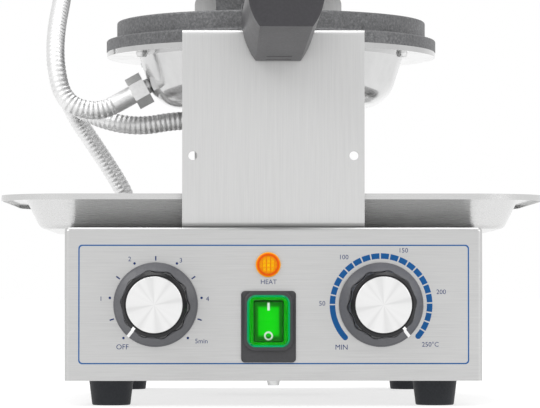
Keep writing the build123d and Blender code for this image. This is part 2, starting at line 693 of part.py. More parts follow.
with BuildPart() as terminal_block:
    with BuildSketch(Plane.XY.offset(FOOT_HEIGHT + SHEET)):
        with Locations((70.0, BACK_Y - 90.0)):
            Rectangle(62.0, 24.0)
    extrude(amount=18.0)
    chamfer(terminal_block.faces().sort_by(Axis.Z)[-1].edges().filter_by(Axis.X), length=4.0)
    with BuildSketch(Plane.XY.offset(FOOT_HEIGHT + SHEET + 18.0)):
        with Locations((70.0, BACK_Y - 90.0)):
            with GridLocations(11.0, 9.0, 5, 2):
                Circle(3.0)
    extrude(amount=-5.0, mode=Mode.SUBTRACT)
save(terminal_block, "terminal_block")

# ---- irons: cast plate with a baking recess, a neck, a tang and a hinge lug ----
FACE_Z = AXIS_Z - FACE_GAP
STEP_Z = AXIS_Z - FACE_STEP
RIM_Z = AXIS_Z - RIM_DEPTH
FLANGE_Z = AXIS_Z - FLANGE_DEPTH
DOME_Z = AXIS_Z - DOME_DEPTH
WEB_Z = 241.0  # underside of the casting over the heating element
WEB_RADIUS = 91.0
BAKING_RADIUS = 96.0  # the recess that holds the batter
BAKING_DEPTH = 2.6
LUG_Y = PIVOT_Y - 10.0  # rear face of the hinge lug
LUG_WIDTH = 76.0
LUG_TOP = 246.5
DOME_SCREW_CIRCLE = 98.5
DOME_SCREW_COUNT = 6
DOME_SCREW_RADIUS = 2.0
TANG_WIDTH = 16.0
TANG_HEIGHT = 12.0
TANG_END_Y = -205.0
TANG_SCREW_YS = (-155.0, -190.0)
ELEMENT_RADIUS = 66.0
ELEMENT_TUBE = 4.0
CLAMP_SCREW_RADIUS = 3.0
HINGE_BOLT_X = 30.0
HINGE_BOLT_Z = 236.7
LID_SCREW_X = 14.0
LID_SCREW_Z = 2 * AXIS_Z - 265.0  # as it lies on the lower iron's copy

iron_axis = Axis((0, IRON_Y, 0), (0, 0, 1))
iron_plane = front_plane(IRON_Y)


def grip_plane(y):
    """A sketch plane across the grip at this Y, square to the grip's own direction."""
    skew = math.radians(HANDLE_SKEW)
    along = HANDLE_SKEW_Y - y
    return Plane(
        origin=(along * math.sin(skew), HANDLE_SKEW_Y - along * math.cos(skew), 0),
        x_dir=(math.cos(skew), math.sin(skew), 0),
        z_dir=(math.sin(skew), -math.cos(skew), 0),
    )


with BuildPart() as iron_casting:
    with BuildSketch(iron_plane) as casting_profile:
        with BuildLine():
            Polyline(
                (0, WEB_Z),
                (WEB_RADIUS, WEB_Z),
                (WEB_RADIUS + 3.0, RIM_Z),
                (RIM_RADIUS, RIM_Z),
                (RIM_RADIUS, STEP_Z),
                (FACE_RADIUS, STEP_Z),
                (FACE_RADIUS, FACE_Z),
                (0, FACE_Z),
                close=True,
            )
        make_face()
        for corner in ((RIM_RADIUS, STEP_Z), (FACE_RADIUS, STEP_Z), (FACE_RADIUS, FACE_Z)):
            fillet(casting_profile.vertices().sort_by_distance(corner)[0], radius=1.4)
    revolve(axis=iron_axis)
    with BuildSketch(front_plane(NECK_END_Y)):
        with Locations((0, AXIS_Z)):
            Circle(NECK_RADIUS)
        with Locations((0, FACE_Z)):
            Rectangle(60.0, 60.0, align=(Align.CENTER, Align.MIN), mode=Mode.SUBTRACT)
    extrude(amount=NECK_END_Y + 88.0)
    with BuildSketch(grip_plane(TANG_END_Y)):
        with Locations((0, FACE_Z)):
            Rectangle(TANG_WIDTH, TANG_HEIGHT, align=(Align.CENTER, Align.MAX))
    extrude(amount=TANG_END_Y - HEEL_Y - 10.0)
    with BuildSketch(Plane.XY.offset(RIM_Z)):
        with Locations((0, LUG_Y)):
            Rectangle(LUG_WIDTH, 30.0, align=(Align.CENTER, Align.MAX))
        with Locations((0, IRON_Y)):
            Circle(WEB_RADIUS + 8.0, mode=Mode.SUBTRACT)
    extrude(amount=LUG_TOP - RIM_Z)
    with BuildSketch(Plane.XY.offset(FACE_Z)):
        with Locations((0, IRON_Y)):
            Circle(BAKING_RADIUS)
    extrude(amount=-BAKING_DEPTH, mode=Mode.SUBTRACT)
    with BuildSketch(Plane.XY.offset(RIM_Z)):
        with Locations((0, IRON_Y)):
            with PolarLocations(DOME_SCREW_CIRCLE, DOME_SCREW_COUNT, start_angle=30.0):
                Circle(DOME_SCREW_RADIUS)
    extrude(amount=6.5, mode=Mode.SUBTRACT)
    with BuildSketch(Plane.XY.offset(WEB_Z)):
        with Locations((0, IRON_Y)):
            Circle(CLAMP_SCREW_RADIUS)
    extrude(amount=5.5, mode=Mode.SUBTRACT)
    for screw_y in TANG_SCREW_YS:
        spot = grip_plane(screw_y).origin
        with BuildSketch(Plane.XY.offset(FACE_Z)):
            with Locations((spot.X, spot.Y)):
                Circle(2.1)
        extrude(amount=-TANG_HEIGHT, mode=Mode.SUBTRACT)
        with BuildSketch(Plane.XY.offset(FACE_Z)):
            with Locations((spot.X, spot.Y)):
                Circle(4.1)
        extrude(amount=-3.0, mode=Mode.SUBTRACT)


def drill_lug(casting, x_offset, z, radius):
    """The casting with two blind holes in the rear face of its hinge lug."""
    with BuildPart() as drilled:
        add(casting)
        with BuildSketch(front_plane(LUG_Y)):
            with Locations((-x_offset, z), (x_offset, z)):
                Circle(radius)
        extrude(amount=12.0, mode=Mode.SUBTRACT)
    return drilled


lower_plate = drill_lug(iron_casting.part, HINGE_BOLT_X, HINGE_BOLT_Z, 3.0)
save(lower_plate, "lower_plate")
lid_casting = drill_lug(iron_casting.part, LID_SCREW_X, LID_SCREW_Z, 2.5)
open_lid_casting = to_open_lid(lid_casting.part)
with BuildPart() as lid_plate:
    add(open_lid_casting)
save(lid_plate, "lid_plate")

# ---- grips: moulded half handles over the tangs ----
HEEL_WIDTHS = (14.1, 19.5, 21.3)  # half widths at the bottom, the side and the top
TIP_WIDTHS = (15.7, 20.3, 22.4)
HEEL_DEPTHS = (36.3, 27.0)  # bottom and side point below the meeting plane
TIP_DEPTHS = (25.0, 17.0)
GROOVE_YS = (-138.4, -151.0)
GROOVE_LENGTH = 16.0
GROOVE_WIDTH = 1.5


def grip_section(y, widths, depths):
    """The half-round grip's section: a flat bottom, curved sides and the flat meeting face."""
    bottom, side, top = widths
    bottom_z, side_z = AXIS_Z - depths[0], AXIS_Z - depths[1]
    with BuildSketch(grip_plane(y)) as section:
        with BuildLine():
            Line((-bottom, bottom_z), (bottom, bottom_z))
            ThreePointArc((bottom, bottom_z), (side, side_z), (top, FACE_Z))
            Line((top, FACE_Z), (-top, FACE_Z))
            ThreePointArc((-top, FACE_Z), (-side, side_z), (-bottom, bottom_z))
        make_face()
    return section.sketch


heel_section = grip_section(HEEL_Y, HEEL_WIDTHS, HEEL_DEPTHS)
tip_section = grip_section(TIP_Y, TIP_WIDTHS, TIP_DEPTHS)
with BuildPart() as handle:
    loft([heel_section, tip_section], ruled=True)
    fillet(handle.faces().sort_by(Axis.Y)[0].edges().sort_by(Axis.Z)[:-1], radius=1.2)
    with BuildSketch(grip_plane(TANG_END_Y - 0.5)):
        with Locations((0, AXIS_Z)):
            Rectangle(TANG_WIDTH + 0.6, TANG_HEIGHT + 0.6, align=(Align.CENTER, Align.MAX))
    extrude(amount=TANG_END_Y - HEEL_Y - 10.0, mode=Mode.SUBTRACT)
    for screw_y in TANG_SCREW_YS:
        spot = grip_plane(screw_y).origin
        with BuildSketch(Plane.XY.offset(FACE_Z)):
            with Locations((spot.X, spot.Y)):
                Circle(2.0)
        extrude(amount=-22.0, mode=Mode.SUBTRACT)
    for groove_y in GROOVE_YS:
        spot = grip_plane(groove_y).origin
        share = (groove_y - HEEL_Y) / (TIP_Y - HEEL_Y)
        underside = AXIS_Z - HEEL_DEPTHS[0] + share * (HEEL_DEPTHS[0] - TIP_DEPTHS[0])
        with BuildSketch(Plane.XY.offset(underside - 4.0)):
            with Locations(Location((spot.X, spot.Y), HANDLE_SKEW)):
                SlotOverall(GROOVE_LENGTH, GROOVE_WIDTH)
        extrude(amount=5.6, mode=Mode.SUBTRACT)
save_both_irons(handle, "handle")

with BuildPart() as handle_screws:
    for screw_y in TANG_SCREW_YS:
        spot = grip_plane(screw_y).origin
        with BuildSketch(Plane.XY.offset(FACE_Z - 0.4)):
            with Locations((spot.X, spot.Y)):
                Circle(3.9)
        extrude(amount=-2.6)
        with BuildSketch(Plane.XY.offset(FACE_Z - 0.4)):
            with Locations((spot.X, spot.Y)):
                Circle(2.0)
        extrude(amount=-20.0)
save_both_irons(handle_screws, "handle_screws")

# ---- polished dome cover with a flange, its gasket and its screws ----
GASKET_INNER_RADIUS = 90.0
FITTING_REACH = 81.4  # where the fitting's axis meets the dome wall
FITTING_Z = 210.0
fitting_x_dir = -math.cos(math.radians(FITTING_DROP))
fitting_z_dir = -math.sin(math.radians(FITTING_DROP))


def fitting_plane(along):
    """A sketch plane across the dome fitting's axis, this far out from the dome wall."""
    return Plane(
        origin=(-FITTING_REACH + along * fitting_x_dir, IRON_Y, FITTING_Z + along * fitting_z_dir),
        x_dir=(0, 1, 0),
        z_dir=(fitting_x_dir, 0, fitting_z_dir),
    )


with BuildPart() as dome:
    with BuildSketch(iron_plane) as dome_profile:
        with BuildLine():
            Polyline(
                (0, DOME_Z),
                (DOME_CORNER_RADIUS, DOME_Z),
                (DOME_MOUTH_RADIUS, FLANGE_Z + DOME_SHEET),
                (0, FLANGE_Z + DOME_SHEET),
                close=True,
            )
        make_face()
        dome_corner = dome_profile.vertices().sort_by_distance((DOME_CORNER_RADIUS, DOME_Z))[0]
        fillet(dome_corner, radius=22.0)
    revolve(axis=iron_axis)
    offset(amount=-DOME_SHEET, openings=dome.faces().sort_by(Axis.Z)[-1])
    with BuildSketch(iron_plane):
        with Locations((DOME_MOUTH_RADIUS - 1.0, FLANGE_Z)):
            flange_width = RIM_RADIUS - 0.3 - DOME_MOUTH_RADIUS + 1.0
            Rectangle(flange_width, DOME_SHEET, align=(Align.MIN, Align.MIN))
        with Locations((RIM_RADIUS - 0.3, FLANGE_Z)):
            Rectangle(1.6, RIM_Z - FLANGE_Z, align=(Align.MAX, Align.MIN))
    revolve(axis=iron_axis)
    with BuildSketch(fitting_plane(-8.0)):
        Circle(5.2)
    extrude(amount=14.0, mode=Mode.SUBTRACT)
    with BuildSketch(Plane.XY.offset(FLANGE_Z)):
        with Locations((0, IRON_Y)):
            with PolarLocations(DOME_SCREW_CIRCLE, DOME_SCREW_COUNT, start_angle=30.0):
                Circle(DOME_SCREW_RADIUS + 0.2)
    extrude(amount=DOME_SHEET, mode=Mode.SUBTRACT)

SUPPLY_PORT = (-24.0, 27.0)
SUPPLY_AXIS_Z = 187.6
with BuildPart() as lower_dome:
    add(dome.part)
    with BuildSketch(Plane.XY.offset(DOME_Z - 1.0)):
        with Locations(SUPPLY_PORT):
            Circle(5.2)
    extrude(amount=4.0, mode=Mode.SUBTRACT)
save(lower_dome, "lower_dome")
open_dome = to_open_lid(dome.part)
with BuildPart() as lid_dome:
    add(open_dome)
save(lid_dome, "lid_dome")

with BuildPart() as gasket:
    with BuildSketch(Plane.XY.offset(FLANGE_Z + DOME_SHEET)):
        with Locations((0, IRON_Y)):
            Circle(RIM_RADIUS - 2.2)
            Circle(GASKET_INNER_RADIUS, mode=Mode.SUBTRACT)
            with PolarLocations(DOME_SCREW_CIRCLE, DOME_SCREW_COUNT, start_angle=30.0):
                Circle(DOME_SCREW_RADIUS + 0.2, mode=Mode.SUBTRACT)
    extrude(amount=RIM_Z - FLANGE_Z - DOME_SHEET)
save_both_irons(gasket, "gasket")

with BuildPart() as dome_screws:
    with BuildSketch(Plane.XY.offset(FLANGE_Z)):
        with Locations((0, IRON_Y)):
            with PolarLocations(DOME_SCREW_CIRCLE, DOME_SCREW_COUNT, start_angle=30.0):
                Circle(3.8)
    extrude(amount=-2.6, taper=15)
    with BuildSketch(Plane.XY.offset(FLANGE_Z)):
        with Locations((0, IRON_Y)):
            with PolarLocations(DOME_SCREW_CIRCLE, DOME_SCREW_COUNT, start_angle=30.0):
                Circle(DOME_SCREW_RADIUS)
    extrude(amount=9.5)
save_both_irons(dome_screws, "dome_screws")

# ---- heating element, its clamp with the clamp screw, and the thermostat bulb ----
ELEMENT_GAP = 15.0  # half of the gap in the ring, in degrees
ELEMENT_Z = WEB_Z - ELEMENT_TUBE - 0.05
ELEMENT_LEG = 22.0
CLAMP_TOP = ELEMENT_Z - ELEMENT_TUBE - 0.05


def radial_direction(degrees):
    """The level unit vector at this angle around the iron."""
    return math.cos(math.radians(degrees)), math.sin(math.radians(degrees))


start_x, start_y = radial_direction(180.0 + ELEMENT_GAP)
with BuildPart() as element:
    ring_plane = Plane(
        origin=(0, IRON_Y, 0), x_dir=(start_x, start_y, 0), z_dir=(start_y, -start_x, 0)
    )
    with BuildSketch(ring_plane):
        with Locations((ELEMENT_RADIUS, ELEMENT_Z)):
            Circle(ELEMENT_TUBE)
    revolve(axis=iron_axis, revolution_arc=360.0 - 2 * ELEMENT_GAP)
    for end_angle in (180.0 - ELEMENT_GAP, 180.0 + ELEMENT_GAP):
        end_x, end_y = radial_direction(end_angle)
        leg_plane = Plane(
            origin=(ELEMENT_RADIUS * end_x, IRON_Y + ELEMENT_RADIUS * end_y, ELEMENT_Z),
            z_dir=(-end_x, -end_y, 0),
        )
        with BuildSketch(leg_plane):
            Circle(ELEMENT_TUBE)
        extrude(amount=ELEMENT_LEG)
        with BuildSketch(leg_plane):
            Circle(1.5)
        extrude(amount=ELEMENT_LEG + 9.0)
        with BuildSketch(leg_plane):
            Circle(ELEMENT_TUBE)
        extrude(amount=-ELEMENT_TUBE)
save_both_irons(element, "element")

with BuildPart() as element_clamp:
    with BuildSketch(Plane.XY.offset(CLAMP_TOP)):
        with Locations((0, IRON_Y)):
            SlotOverall(2 * ELEMENT_RADIUS + 20.0, 16.0, rotation=90)
            Circle(CLAMP_SCREW_RADIUS + 0.2, mode=Mode.SUBTRACT)
    extrude(amount=-2.0)
    with BuildSketch(Plane.XY.offset(CLAMP_TOP - 2.0)):
        with Locations((0, IRON_Y)):
            RegularPolygon(5.6, 6)
    extrude(amount=-4.0)
    with BuildSketch(Plane.XY.offset(CLAMP_TOP - 2.0)):
        with Locations((0, IRON_Y)):
            Circle(CLAMP_SCREW_RADIUS)
    extrude(amount=WEB_Z + 4.5 - CLAMP_TOP + 2.0)
save_both_irons(element_clamp, "element_clamp")

with BuildPart() as thermostat_bulb:
    with BuildSketch(Plane.YZ.offset(-32.0)):
        with Locations((IRON_Y + 34.0, WEB_Z - 3.1)):
            Circle(3.0)
    extrude(amount=64.0)
    with BuildSketch(Plane.YZ.offset(-32.0)):
        with Locations((IRON_Y + 34.0, WEB_Z - 3.1)):
            Circle(1.0)
    extrude(amount=-14.0)
save(thermostat_bulb, "thermostat_bulb")

# ---- hinge: block with ears and turn shaft under, knuckle block on the lid, pin ----
KNUCKLE_RADIUS = 8.0
EAR_INNER_X = 31.0
EAR_OUTER_X = 38.0
LID_ARM_INNER_X = 20.0
LID_ARM_OUTER_X = 29.5
BLOCK_TOP = 242.0
BLOCK_DEPTH = 21.0  # from the lug to the rear of the ears
SPINE_WIDTH = 40.0  # the block's narrower part that reaches the boss
BOSS_FRONT_Y = PIVOT_Y + 28.0
BOSS_BACK_Y = PIVOT_Y + 38.0
BOSS_RADIUS = 14.0
STOP_HALF_WIDTH = 9.0
STOP_DEPTH = 9.0
STOP_RISE = 6.7  # the stop's top above the axle
BOLT_HEAD_RADIUS = 4.9
BOLT_HEAD_HEIGHT = 6.0
BOLT_RADIUS = 3.0
BOLT_SOCKET_RADIUS = 2.9
STOP_Y = PIVOT_Y + 12.0
SHAFT_END_Y = REAR_BRACKET_Y + 25.0

with BuildPart() as hinge_block:
    with BuildSketch(Plane.XY.offset(RIM_Z)):
        with Locations((0, LUG_Y)):
            Rectangle(2 * EAR_OUTER_X, BLOCK_DEPTH, align=(Align.CENTER, Align.MIN))
            Rectangle(SPINE_WIDTH, BOSS_BACK_Y - LUG_Y, align=(Align.CENTER, Align.MIN))
    extrude(amount=BLOCK_TOP - RIM_Z)
    for side in (-1, 1):
        with BuildSketch(Plane.YZ.offset(side * EAR_INNER_X)):
            with Locations((PIVOT_Y, AXIS_Z)):
                Circle(KNUCKLE_RADIUS)
            with Locations((PIVOT_Y, RIM_Z)):
                ear_foot = AXIS_Z - RIM_Z
                Rectangle(2 * KNUCKLE_RADIUS, ear_foot, align=(Align.CENTER, Align.MIN))
        extrude(amount=side * (EAR_OUTER_X - EAR_INNER_X))
    with BuildSketch(front_plane(BOSS_FRONT_Y)):
        with Locations((0, AXIS_Z)):
            Circle(BOSS_RADIUS)
        with Locations((0, RIM_Z)):
            Rectangle(2 * BOSS_RADIUS, AXIS_Z - RIM_Z, align=(Align.CENTER, Align.MIN))
    extrude(amount=-(BOSS_BACK_Y - BOSS_FRONT_Y))
    with BuildSketch(Plane.XY.offset(BLOCK_TOP)):
        with Locations((0, STOP_Y)):
            Rectangle(2 * STOP_HALF_WIDTH, STOP_DEPTH, align=(Align.CENTER, Align.MIN))
    extrude(amount=AXIS_Z + STOP_RISE - BLOCK_TOP)
    with BuildSketch(Plane.YZ.offset(-EAR_OUTER_X)):
        with Locations((PIVOT_Y, AXIS_Z)):
            Circle(PIN_RADIUS)
    extrude(amount=2 * EAR_OUTER_X, mode=Mode.SUBTRACT)
    with BuildSketch(front_plane(BOSS_BACK_Y)):
        with Locations((0, AXIS_Z)):
            Circle(SHAFT_RADIUS - 2.0)
    extrude(amount=BOSS_BACK_Y - BOSS_FRONT_Y, mode=Mode.SUBTRACT)
    with BuildSketch(front_plane(LUG_Y)):
        with Locations((-HINGE_BOLT_X, HINGE_BOLT_Z), (HINGE_BOLT_X, HINGE_BOLT_Z)):
            Circle(BOLT_RADIUS + 0.2)
    extrude(amount=-BLOCK_DEPTH, mode=Mode.SUBTRACT)
save(hinge_block, "hinge_block")

with BuildPart() as hinge_bolts:
    for bolt_x in (-HINGE_BOLT_X, HINGE_BOLT_X):
        with BuildSketch(front_plane(LUG_Y + BLOCK_DEPTH)):
            with Locations((bolt_x, HINGE_BOLT_Z)):
                Circle(BOLT_HEAD_RADIUS)
                RegularPolygon(BOLT_SOCKET_RADIUS, 6, mode=Mode.SUBTRACT)
        extrude(amount=-BOLT_HEAD_HEIGHT)
        with BuildSketch(front_plane(LUG_Y + BLOCK_DEPTH + BOLT_HEAD_HEIGHT / 2)):
            with Locations((bolt_x, HINGE_BOLT_Z)):
                Circle(BOLT_RADIUS)
        extrude(amount=35.0)
save(hinge_bolts, "hinge_bolts")

with BuildPart() as hinge_pin:
    with BuildSketch(Plane.YZ.offset(-EAR_OUTER_X - 2.0)):
        with Locations((PIVOT_Y, AXIS_Z)):
            Circle(PIN_RADIUS)
    extrude(amount=2 * EAR_OUTER_X + 4.0)
    with BuildSketch(Plane.YZ.offset(-EAR_OUTER_X - 0.1)):
        with Locations((PIVOT_Y, AXIS_Z)):
            Circle(PIN_RADIUS + 2.0)
    extrude(amount=-2.5)
save(hinge_pin, "hinge_pin")

with BuildPart() as turn_shaft:
    with BuildSketch(front_plane(BOSS_BACK_Y)):
        with Locations((0, AXIS_Z)):
            Circle(SHAFT_RADIUS)
    extrude(amount=-(SHAFT_END_Y - BOSS_BACK_Y))
    with BuildSketch(front_plane(BOSS_BACK_Y)):
        with Locations((0, AXIS_Z)):
            Circle(SHAFT_RADIUS - 2.0)
    extrude(amount=BOSS_BACK_Y - BOSS_FRONT_Y)
    with BuildSketch(front_plane(BOSS_BACK_Y)):
        with Locations((0, AXIS_Z)):
            Circle(SHAFT_RADIUS + 4.0)
    extrude(amount=-4.0)
save(turn_shaft, "turn_shaft")

with BuildPart() as shaft_collar:
    with BuildSketch(front_plane(rear_back + BEARING_LENGTH + 0.3)):
        with Locations((0, AXIS_Z)):
            Circle(SHAFT_RADIUS + 5.0)
            Circle(SHAFT_RADIUS, mode=Mode.SUBTRACT)
    extrude(amount=-5.0)
save(shaft_collar, "shaft_collar")

# the lid's knuckle block is drawn as it lies on the closed lid, then swung open
lid_lug_low = 2 * AXIS_Z - LUG_TOP
lid_lug_high = 2 * AXIS_Z - RIM_Z
KNUCKLE_PLATE = 3.0
with BuildPart() as closed_knuckles:
    with BuildSketch(front_plane(LUG_Y)):
        with Locations((0, lid_lug_low)):
            plate_height = lid_lug_high - lid_lug_low
            Rectangle(2 * LID_ARM_OUTER_X, plate_height, align=(Align.CENTER, Align.MIN))
        with Locations((-LID_SCREW_X, 265.0), (LID_SCREW_X, 265.0)):
            Circle(2.6, mode=Mode.SUBTRACT)
    extrude(amount=-KNUCKLE_PLATE)
    for side in (-1, 1):
        with BuildSketch(Plane.YZ.offset(side * LID_ARM_INNER_X)):
            with BuildLine():
                Polyline(
                    (LUG_Y, lid_lug_low),
                    (LUG_Y, lid_lug_high),
                    (LUG_Y + KNUCKLE_PLATE, lid_lug_high),
                    (PIVOT_Y + KNUCKLE_RADIUS, AXIS_Z + 2.0),
                    (PIVOT_Y, AXIS_Z - 2.0),
                    (LUG_Y + 2.0, AXIS_Z + 2.0),
                    close=True,
                )
            make_face()
            with Locations((PIVOT_Y, AXIS_Z)):
                Circle(KNUCKLE_RADIUS)
        extrude(amount=side * (LID_ARM_OUTER_X - LID_ARM_INNER_X))
    with BuildSketch(Plane.YZ.offset(-EAR_OUTER_X)):
        with Locations((PIVOT_Y, AXIS_Z)):
            Circle(PIN_RADIUS + RUNNING_GAP)
    extrude(amount=2 * EAR_OUTER_X, mode=Mode.SUBTRACT)

lid_hinge_line = Axis((0, PIVOT_Y, AXIS_Z), (1, 0, 0))
open_knuckles = closed_knuckles.part.rotate(lid_hinge_line, OPEN_ANGLE)
with BuildPart() as lid_knuckle_block:
    add(open_knuckles)
save(lid_knuckle_block, "lid_knuckle_block")

with BuildPart() as closed_lid_screws:
    for screw_x in (-LID_SCREW_X, LID_SCREW_X):
        with BuildSketch(front_plane(LUG_Y + KNUCKLE_PLATE)):
            with Locations((screw_x, 265.0)):
                Circle(3.4)
        extrude(amount=-2.4)
        with BuildSketch(front_plane(LUG_Y + KNUCKLE_PLATE)):
            with Locations((screw_x, 265.0)):
                Circle(2.5)
        extrude(amount=14.0)

open_lid_screws = closed_lid_screws.part.rotate(lid_hinge_line, OPEN_ANGLE)
with BuildPart() as lid_hinge_screws:
    add(open_lid_screws)
save(lid_hinge_screws, "lid_hinge_screws")

# ---- conduit fittings ----
SLEEVE_RADIUS = 6.2
HEX_RADIUS = 11.2
SLEEVE_END = 27.5  # out from the dome wall along the fitting

with BuildPart() as fitting:
    with BuildSketch(fitting_plane(2.6)):
        RegularPolygon(HEX_RADIUS, 6, rotation=30)
    extrude(amount=10.6)
    with BuildSketch(fitting_plane(13.0)):
        Circle(SLEEVE_RADIUS)
    extrude(amount=SLEEVE_END - 13.0)
    with BuildSketch(fitting_plane(-7.0)):
        Circle(5.0)
    extrude(amount=10.0)
    with BuildSketch(fitting_plane(-3.2)):
        RegularPolygon(8.5, 6)
    extrude(amount=-3.0)
save_both_irons(fitting, "dome_fitting")

port_x, port_y = SUPPLY_PORT
SUPPLY_START_X = -44.0
with BuildPart() as supply_elbow:
    with BuildSketch(Plane.XY.offset(DOME_Z)):
        with Locations(SUPPLY_PORT):
            Circle(8.0)
    extrude(amount=-(DOME_Z - SUPPLY_AXIS_Z) - 7.5)
    fillet(supply_elbow.faces().sort_by(Axis.Z)[0].edges(), radius=3.0)
    with BuildSketch(Plane.XY.offset(DOME_Z)):
        with Locations(SUPPLY_PORT):
            Circle(5.0)
    extrude(amount=7.0)
    with BuildSketch(Plane.XY.offset(DOME_Z + DOME_SHEET + 0.3)):
        with Locations(SUPPLY_PORT):
            RegularPolygon(8.5, 6)
    extrude(amount=3.0)
    with BuildSketch(Plane.YZ.offset(port_x)):
        with Locations((port_y, SUPPLY_AXIS_Z)):
            Circle(SLEEVE_RADIUS)
    extrude(amount=SUPPLY_START_X - port_x)
save(supply_elbow, "supply_elbow")

exit_x, exit_y = SUPPLY_EXIT
SUPPLY_GLAND_TOP = 124.0
with BuildPart() as supply_gland:
    with BuildSketch(Plane.XY.offset(BOX_TOP)):
        with Locations(SUPPLY_EXIT):
            RegularPolygon(11.0, 6)
    extrude(amount=6.0)
    with BuildSketch(Plane.XY.offset(BOX_TOP)):
        with Locations(SUPPLY_EXIT):
            Circle(SLEEVE_RADIUS)
    extrude(amount=SUPPLY_GLAND_TOP - BOX_TOP)
    with BuildSketch(Plane.XY.offset(BOX_TOP)):
        with Locations(SUPPLY_EXIT):
            Circle(7.9)
    extrude(amount=-SHEET)
    with BuildSketch(Plane.XY.offset(BOX_TOP - SHEET)):
        with Locations(SUPPLY_EXIT):
            RegularPolygon(10.0, 6)
    extrude(amount=-4.0)
save(supply_gland, "supply_gland")

# ---- flexible conduits: straight runs joined by tangent arcs ----
fitting_end = fitting_plane(SLEEVE_END).origin
fitting_run = fitting_plane(SLEEVE_END + 12.0).origin
lid_fitting_z = AXIS_Z + (PIVOT_Y - IRON_Y)
lid_fitting_y = PIVOT_Y + (AXIS_Z - fitting_end.Z)
lid_run_x = fitting_end.X + 22.0 * fitting_x_dir
lid_run_y = lid_fitting_y - 22.0 * fitting_z_dir
LID_CONDUIT_ROUTE = [
    (fitting_end.X, IRON_Y, fitting_end.Z),
    (fitting_run.X, IRON_Y, fitting_run.Z),
    (-139.0, 8.0, 198.0),
    (-145.5, 12.0, 224.0),
    (-146.0, 32.0, 250.0),
    (-142.0, 62.0, 280.0),
    (-147.0, 102.0, 308.0),
    (-158.0, 148.0, 334.0),
    (-162.0, 186.0, 358.0),
    (-147.0, 207.0, 377.0),
    (lid_run_x, lid_run_y, lid_fitting_z),
    (fitting_end.X, lid_fitting_y, lid_fitting_z),
]
SUPPLY_CONDUIT_ROUTE = [
    (SUPPLY_START_X, port_y, SUPPLY_AXIS_Z),
    (-64.0, port_y, SUPPLY_AXIS_Z),
    (-88.0, 27.0, 183.0),
    (-112.0, 31.0, 187.0),
    (-132.0, 48.0, 197.0),
    (-143.0, 86.0, 206.0),
    (-143.0, 122.0, 209.0),
    (-139.0, 146.0, 197.0),
    (-124.0, 153.0, 175.0),
    (-111.0, 157.0, 155.0),
    (exit_x, exit_y, 137.5),
    (exit_x, exit_y, SUPPLY_GLAND_TOP),
]


def corner_radii(route):
    """The arc radius at each inner point: 0.45 of the shorter run over the half turn's tangent."""
    points = [Vector(*point) for point in route]
    runs = [after - before for before, after in zip(points, points[1:])]
    radii = []
    for before, after in zip(runs, runs[1:]):
        half_turn = math.radians(before.get_angle(after)) / 2
        radii.append(0.45 * min(before.length, after.length) / math.tan(half_turn))
    return radii


def make_conduit(label, route):
    """A round tube along the route, with its radii and its volume check printed."""
    radii = corner_radii(route)
    with BuildPart() as conduit:
        with BuildLine():
            path = FilletPolyline(*route, radius=radii)
        with BuildSketch(Plane(origin=path @ 0, z_dir=path % 0)):
            Circle(CONDUIT_RADIUS)
        sweep()
    expected = math.pi * CONDUIT_RADIUS**2 * path.length
    print(label, "length", round(path.length, 1), "radii", [round(r, 1) for r in radii])
    print(label, "volume over section times length", round(conduit.part.volume / expected, 4))
    save(conduit, label)


make_conduit("lid_conduit", LID_CONDUIT_ROUTE)
make_conduit("supply_conduit", SUPPLY_CONDUIT_ROUTE)
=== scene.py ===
import json
import math

import bmesh
import bpy
from mathutils import Matrix, Vector


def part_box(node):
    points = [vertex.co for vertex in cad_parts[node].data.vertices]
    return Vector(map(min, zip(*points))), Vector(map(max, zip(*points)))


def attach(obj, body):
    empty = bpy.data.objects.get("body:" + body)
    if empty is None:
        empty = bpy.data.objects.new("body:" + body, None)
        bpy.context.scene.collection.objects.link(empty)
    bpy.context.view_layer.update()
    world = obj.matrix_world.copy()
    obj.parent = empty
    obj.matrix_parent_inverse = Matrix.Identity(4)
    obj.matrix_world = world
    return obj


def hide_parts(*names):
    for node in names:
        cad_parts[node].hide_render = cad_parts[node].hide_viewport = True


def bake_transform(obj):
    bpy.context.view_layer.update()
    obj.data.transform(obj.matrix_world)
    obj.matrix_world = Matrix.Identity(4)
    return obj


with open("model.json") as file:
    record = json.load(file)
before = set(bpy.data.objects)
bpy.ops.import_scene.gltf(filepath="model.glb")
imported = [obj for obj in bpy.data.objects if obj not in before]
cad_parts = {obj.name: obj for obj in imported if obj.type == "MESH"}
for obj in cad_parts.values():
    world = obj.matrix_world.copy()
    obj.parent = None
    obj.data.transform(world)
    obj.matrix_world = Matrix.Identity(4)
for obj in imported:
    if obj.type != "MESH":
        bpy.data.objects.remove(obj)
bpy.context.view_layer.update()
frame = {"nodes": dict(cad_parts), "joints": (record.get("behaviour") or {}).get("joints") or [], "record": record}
NODES = frame["nodes"]
MM = 0.001
PRISM_PITCH = 2.6 * MM
PRISM_SHARE = 0.76  # of the lens radius
LENS_RADIUS = 7.8 * MM
ROCKER_HALF_WIDTH = 8.8 * MM
ROCKER_HALF_HEIGHT = 12.3 * MM
COVER_WALL = 1.3 * MM
COVER_CORNER = 4.5 * MM
TURNING_RINGS = 9000.0  # radians of wave per metre of radius
KNOB_FLUTES = 10
TIMER_VALLEY = 13.0  # degrees from +X towards +Z, where one flute lies
THERMOSTAT_VALLEY = 23.5
# The next three numbers place painted shade on each knob: inside this scalloped radius the grip is painted near
# black as shade.
GRIP_SHADE_RADIUS = 20.9 * MM
GRIP_SHADE_LOBE = 0.9 * MM
GRIP_SHADE_EDGE = 0.3 * MM

# ---- node material helpers ----


def new_material(name):
    """A material with a Principled shader, its node tree and object coordinates."""
    material = bpy.data.materials.new(name)
    material.use_nodes = True
    tree = material.node_tree
    shader = tree.nodes["Principled BSDF"]
    place = tree.nodes.new("ShaderNodeTexCoord").outputs["Object"]
    return material, tree, shader, place


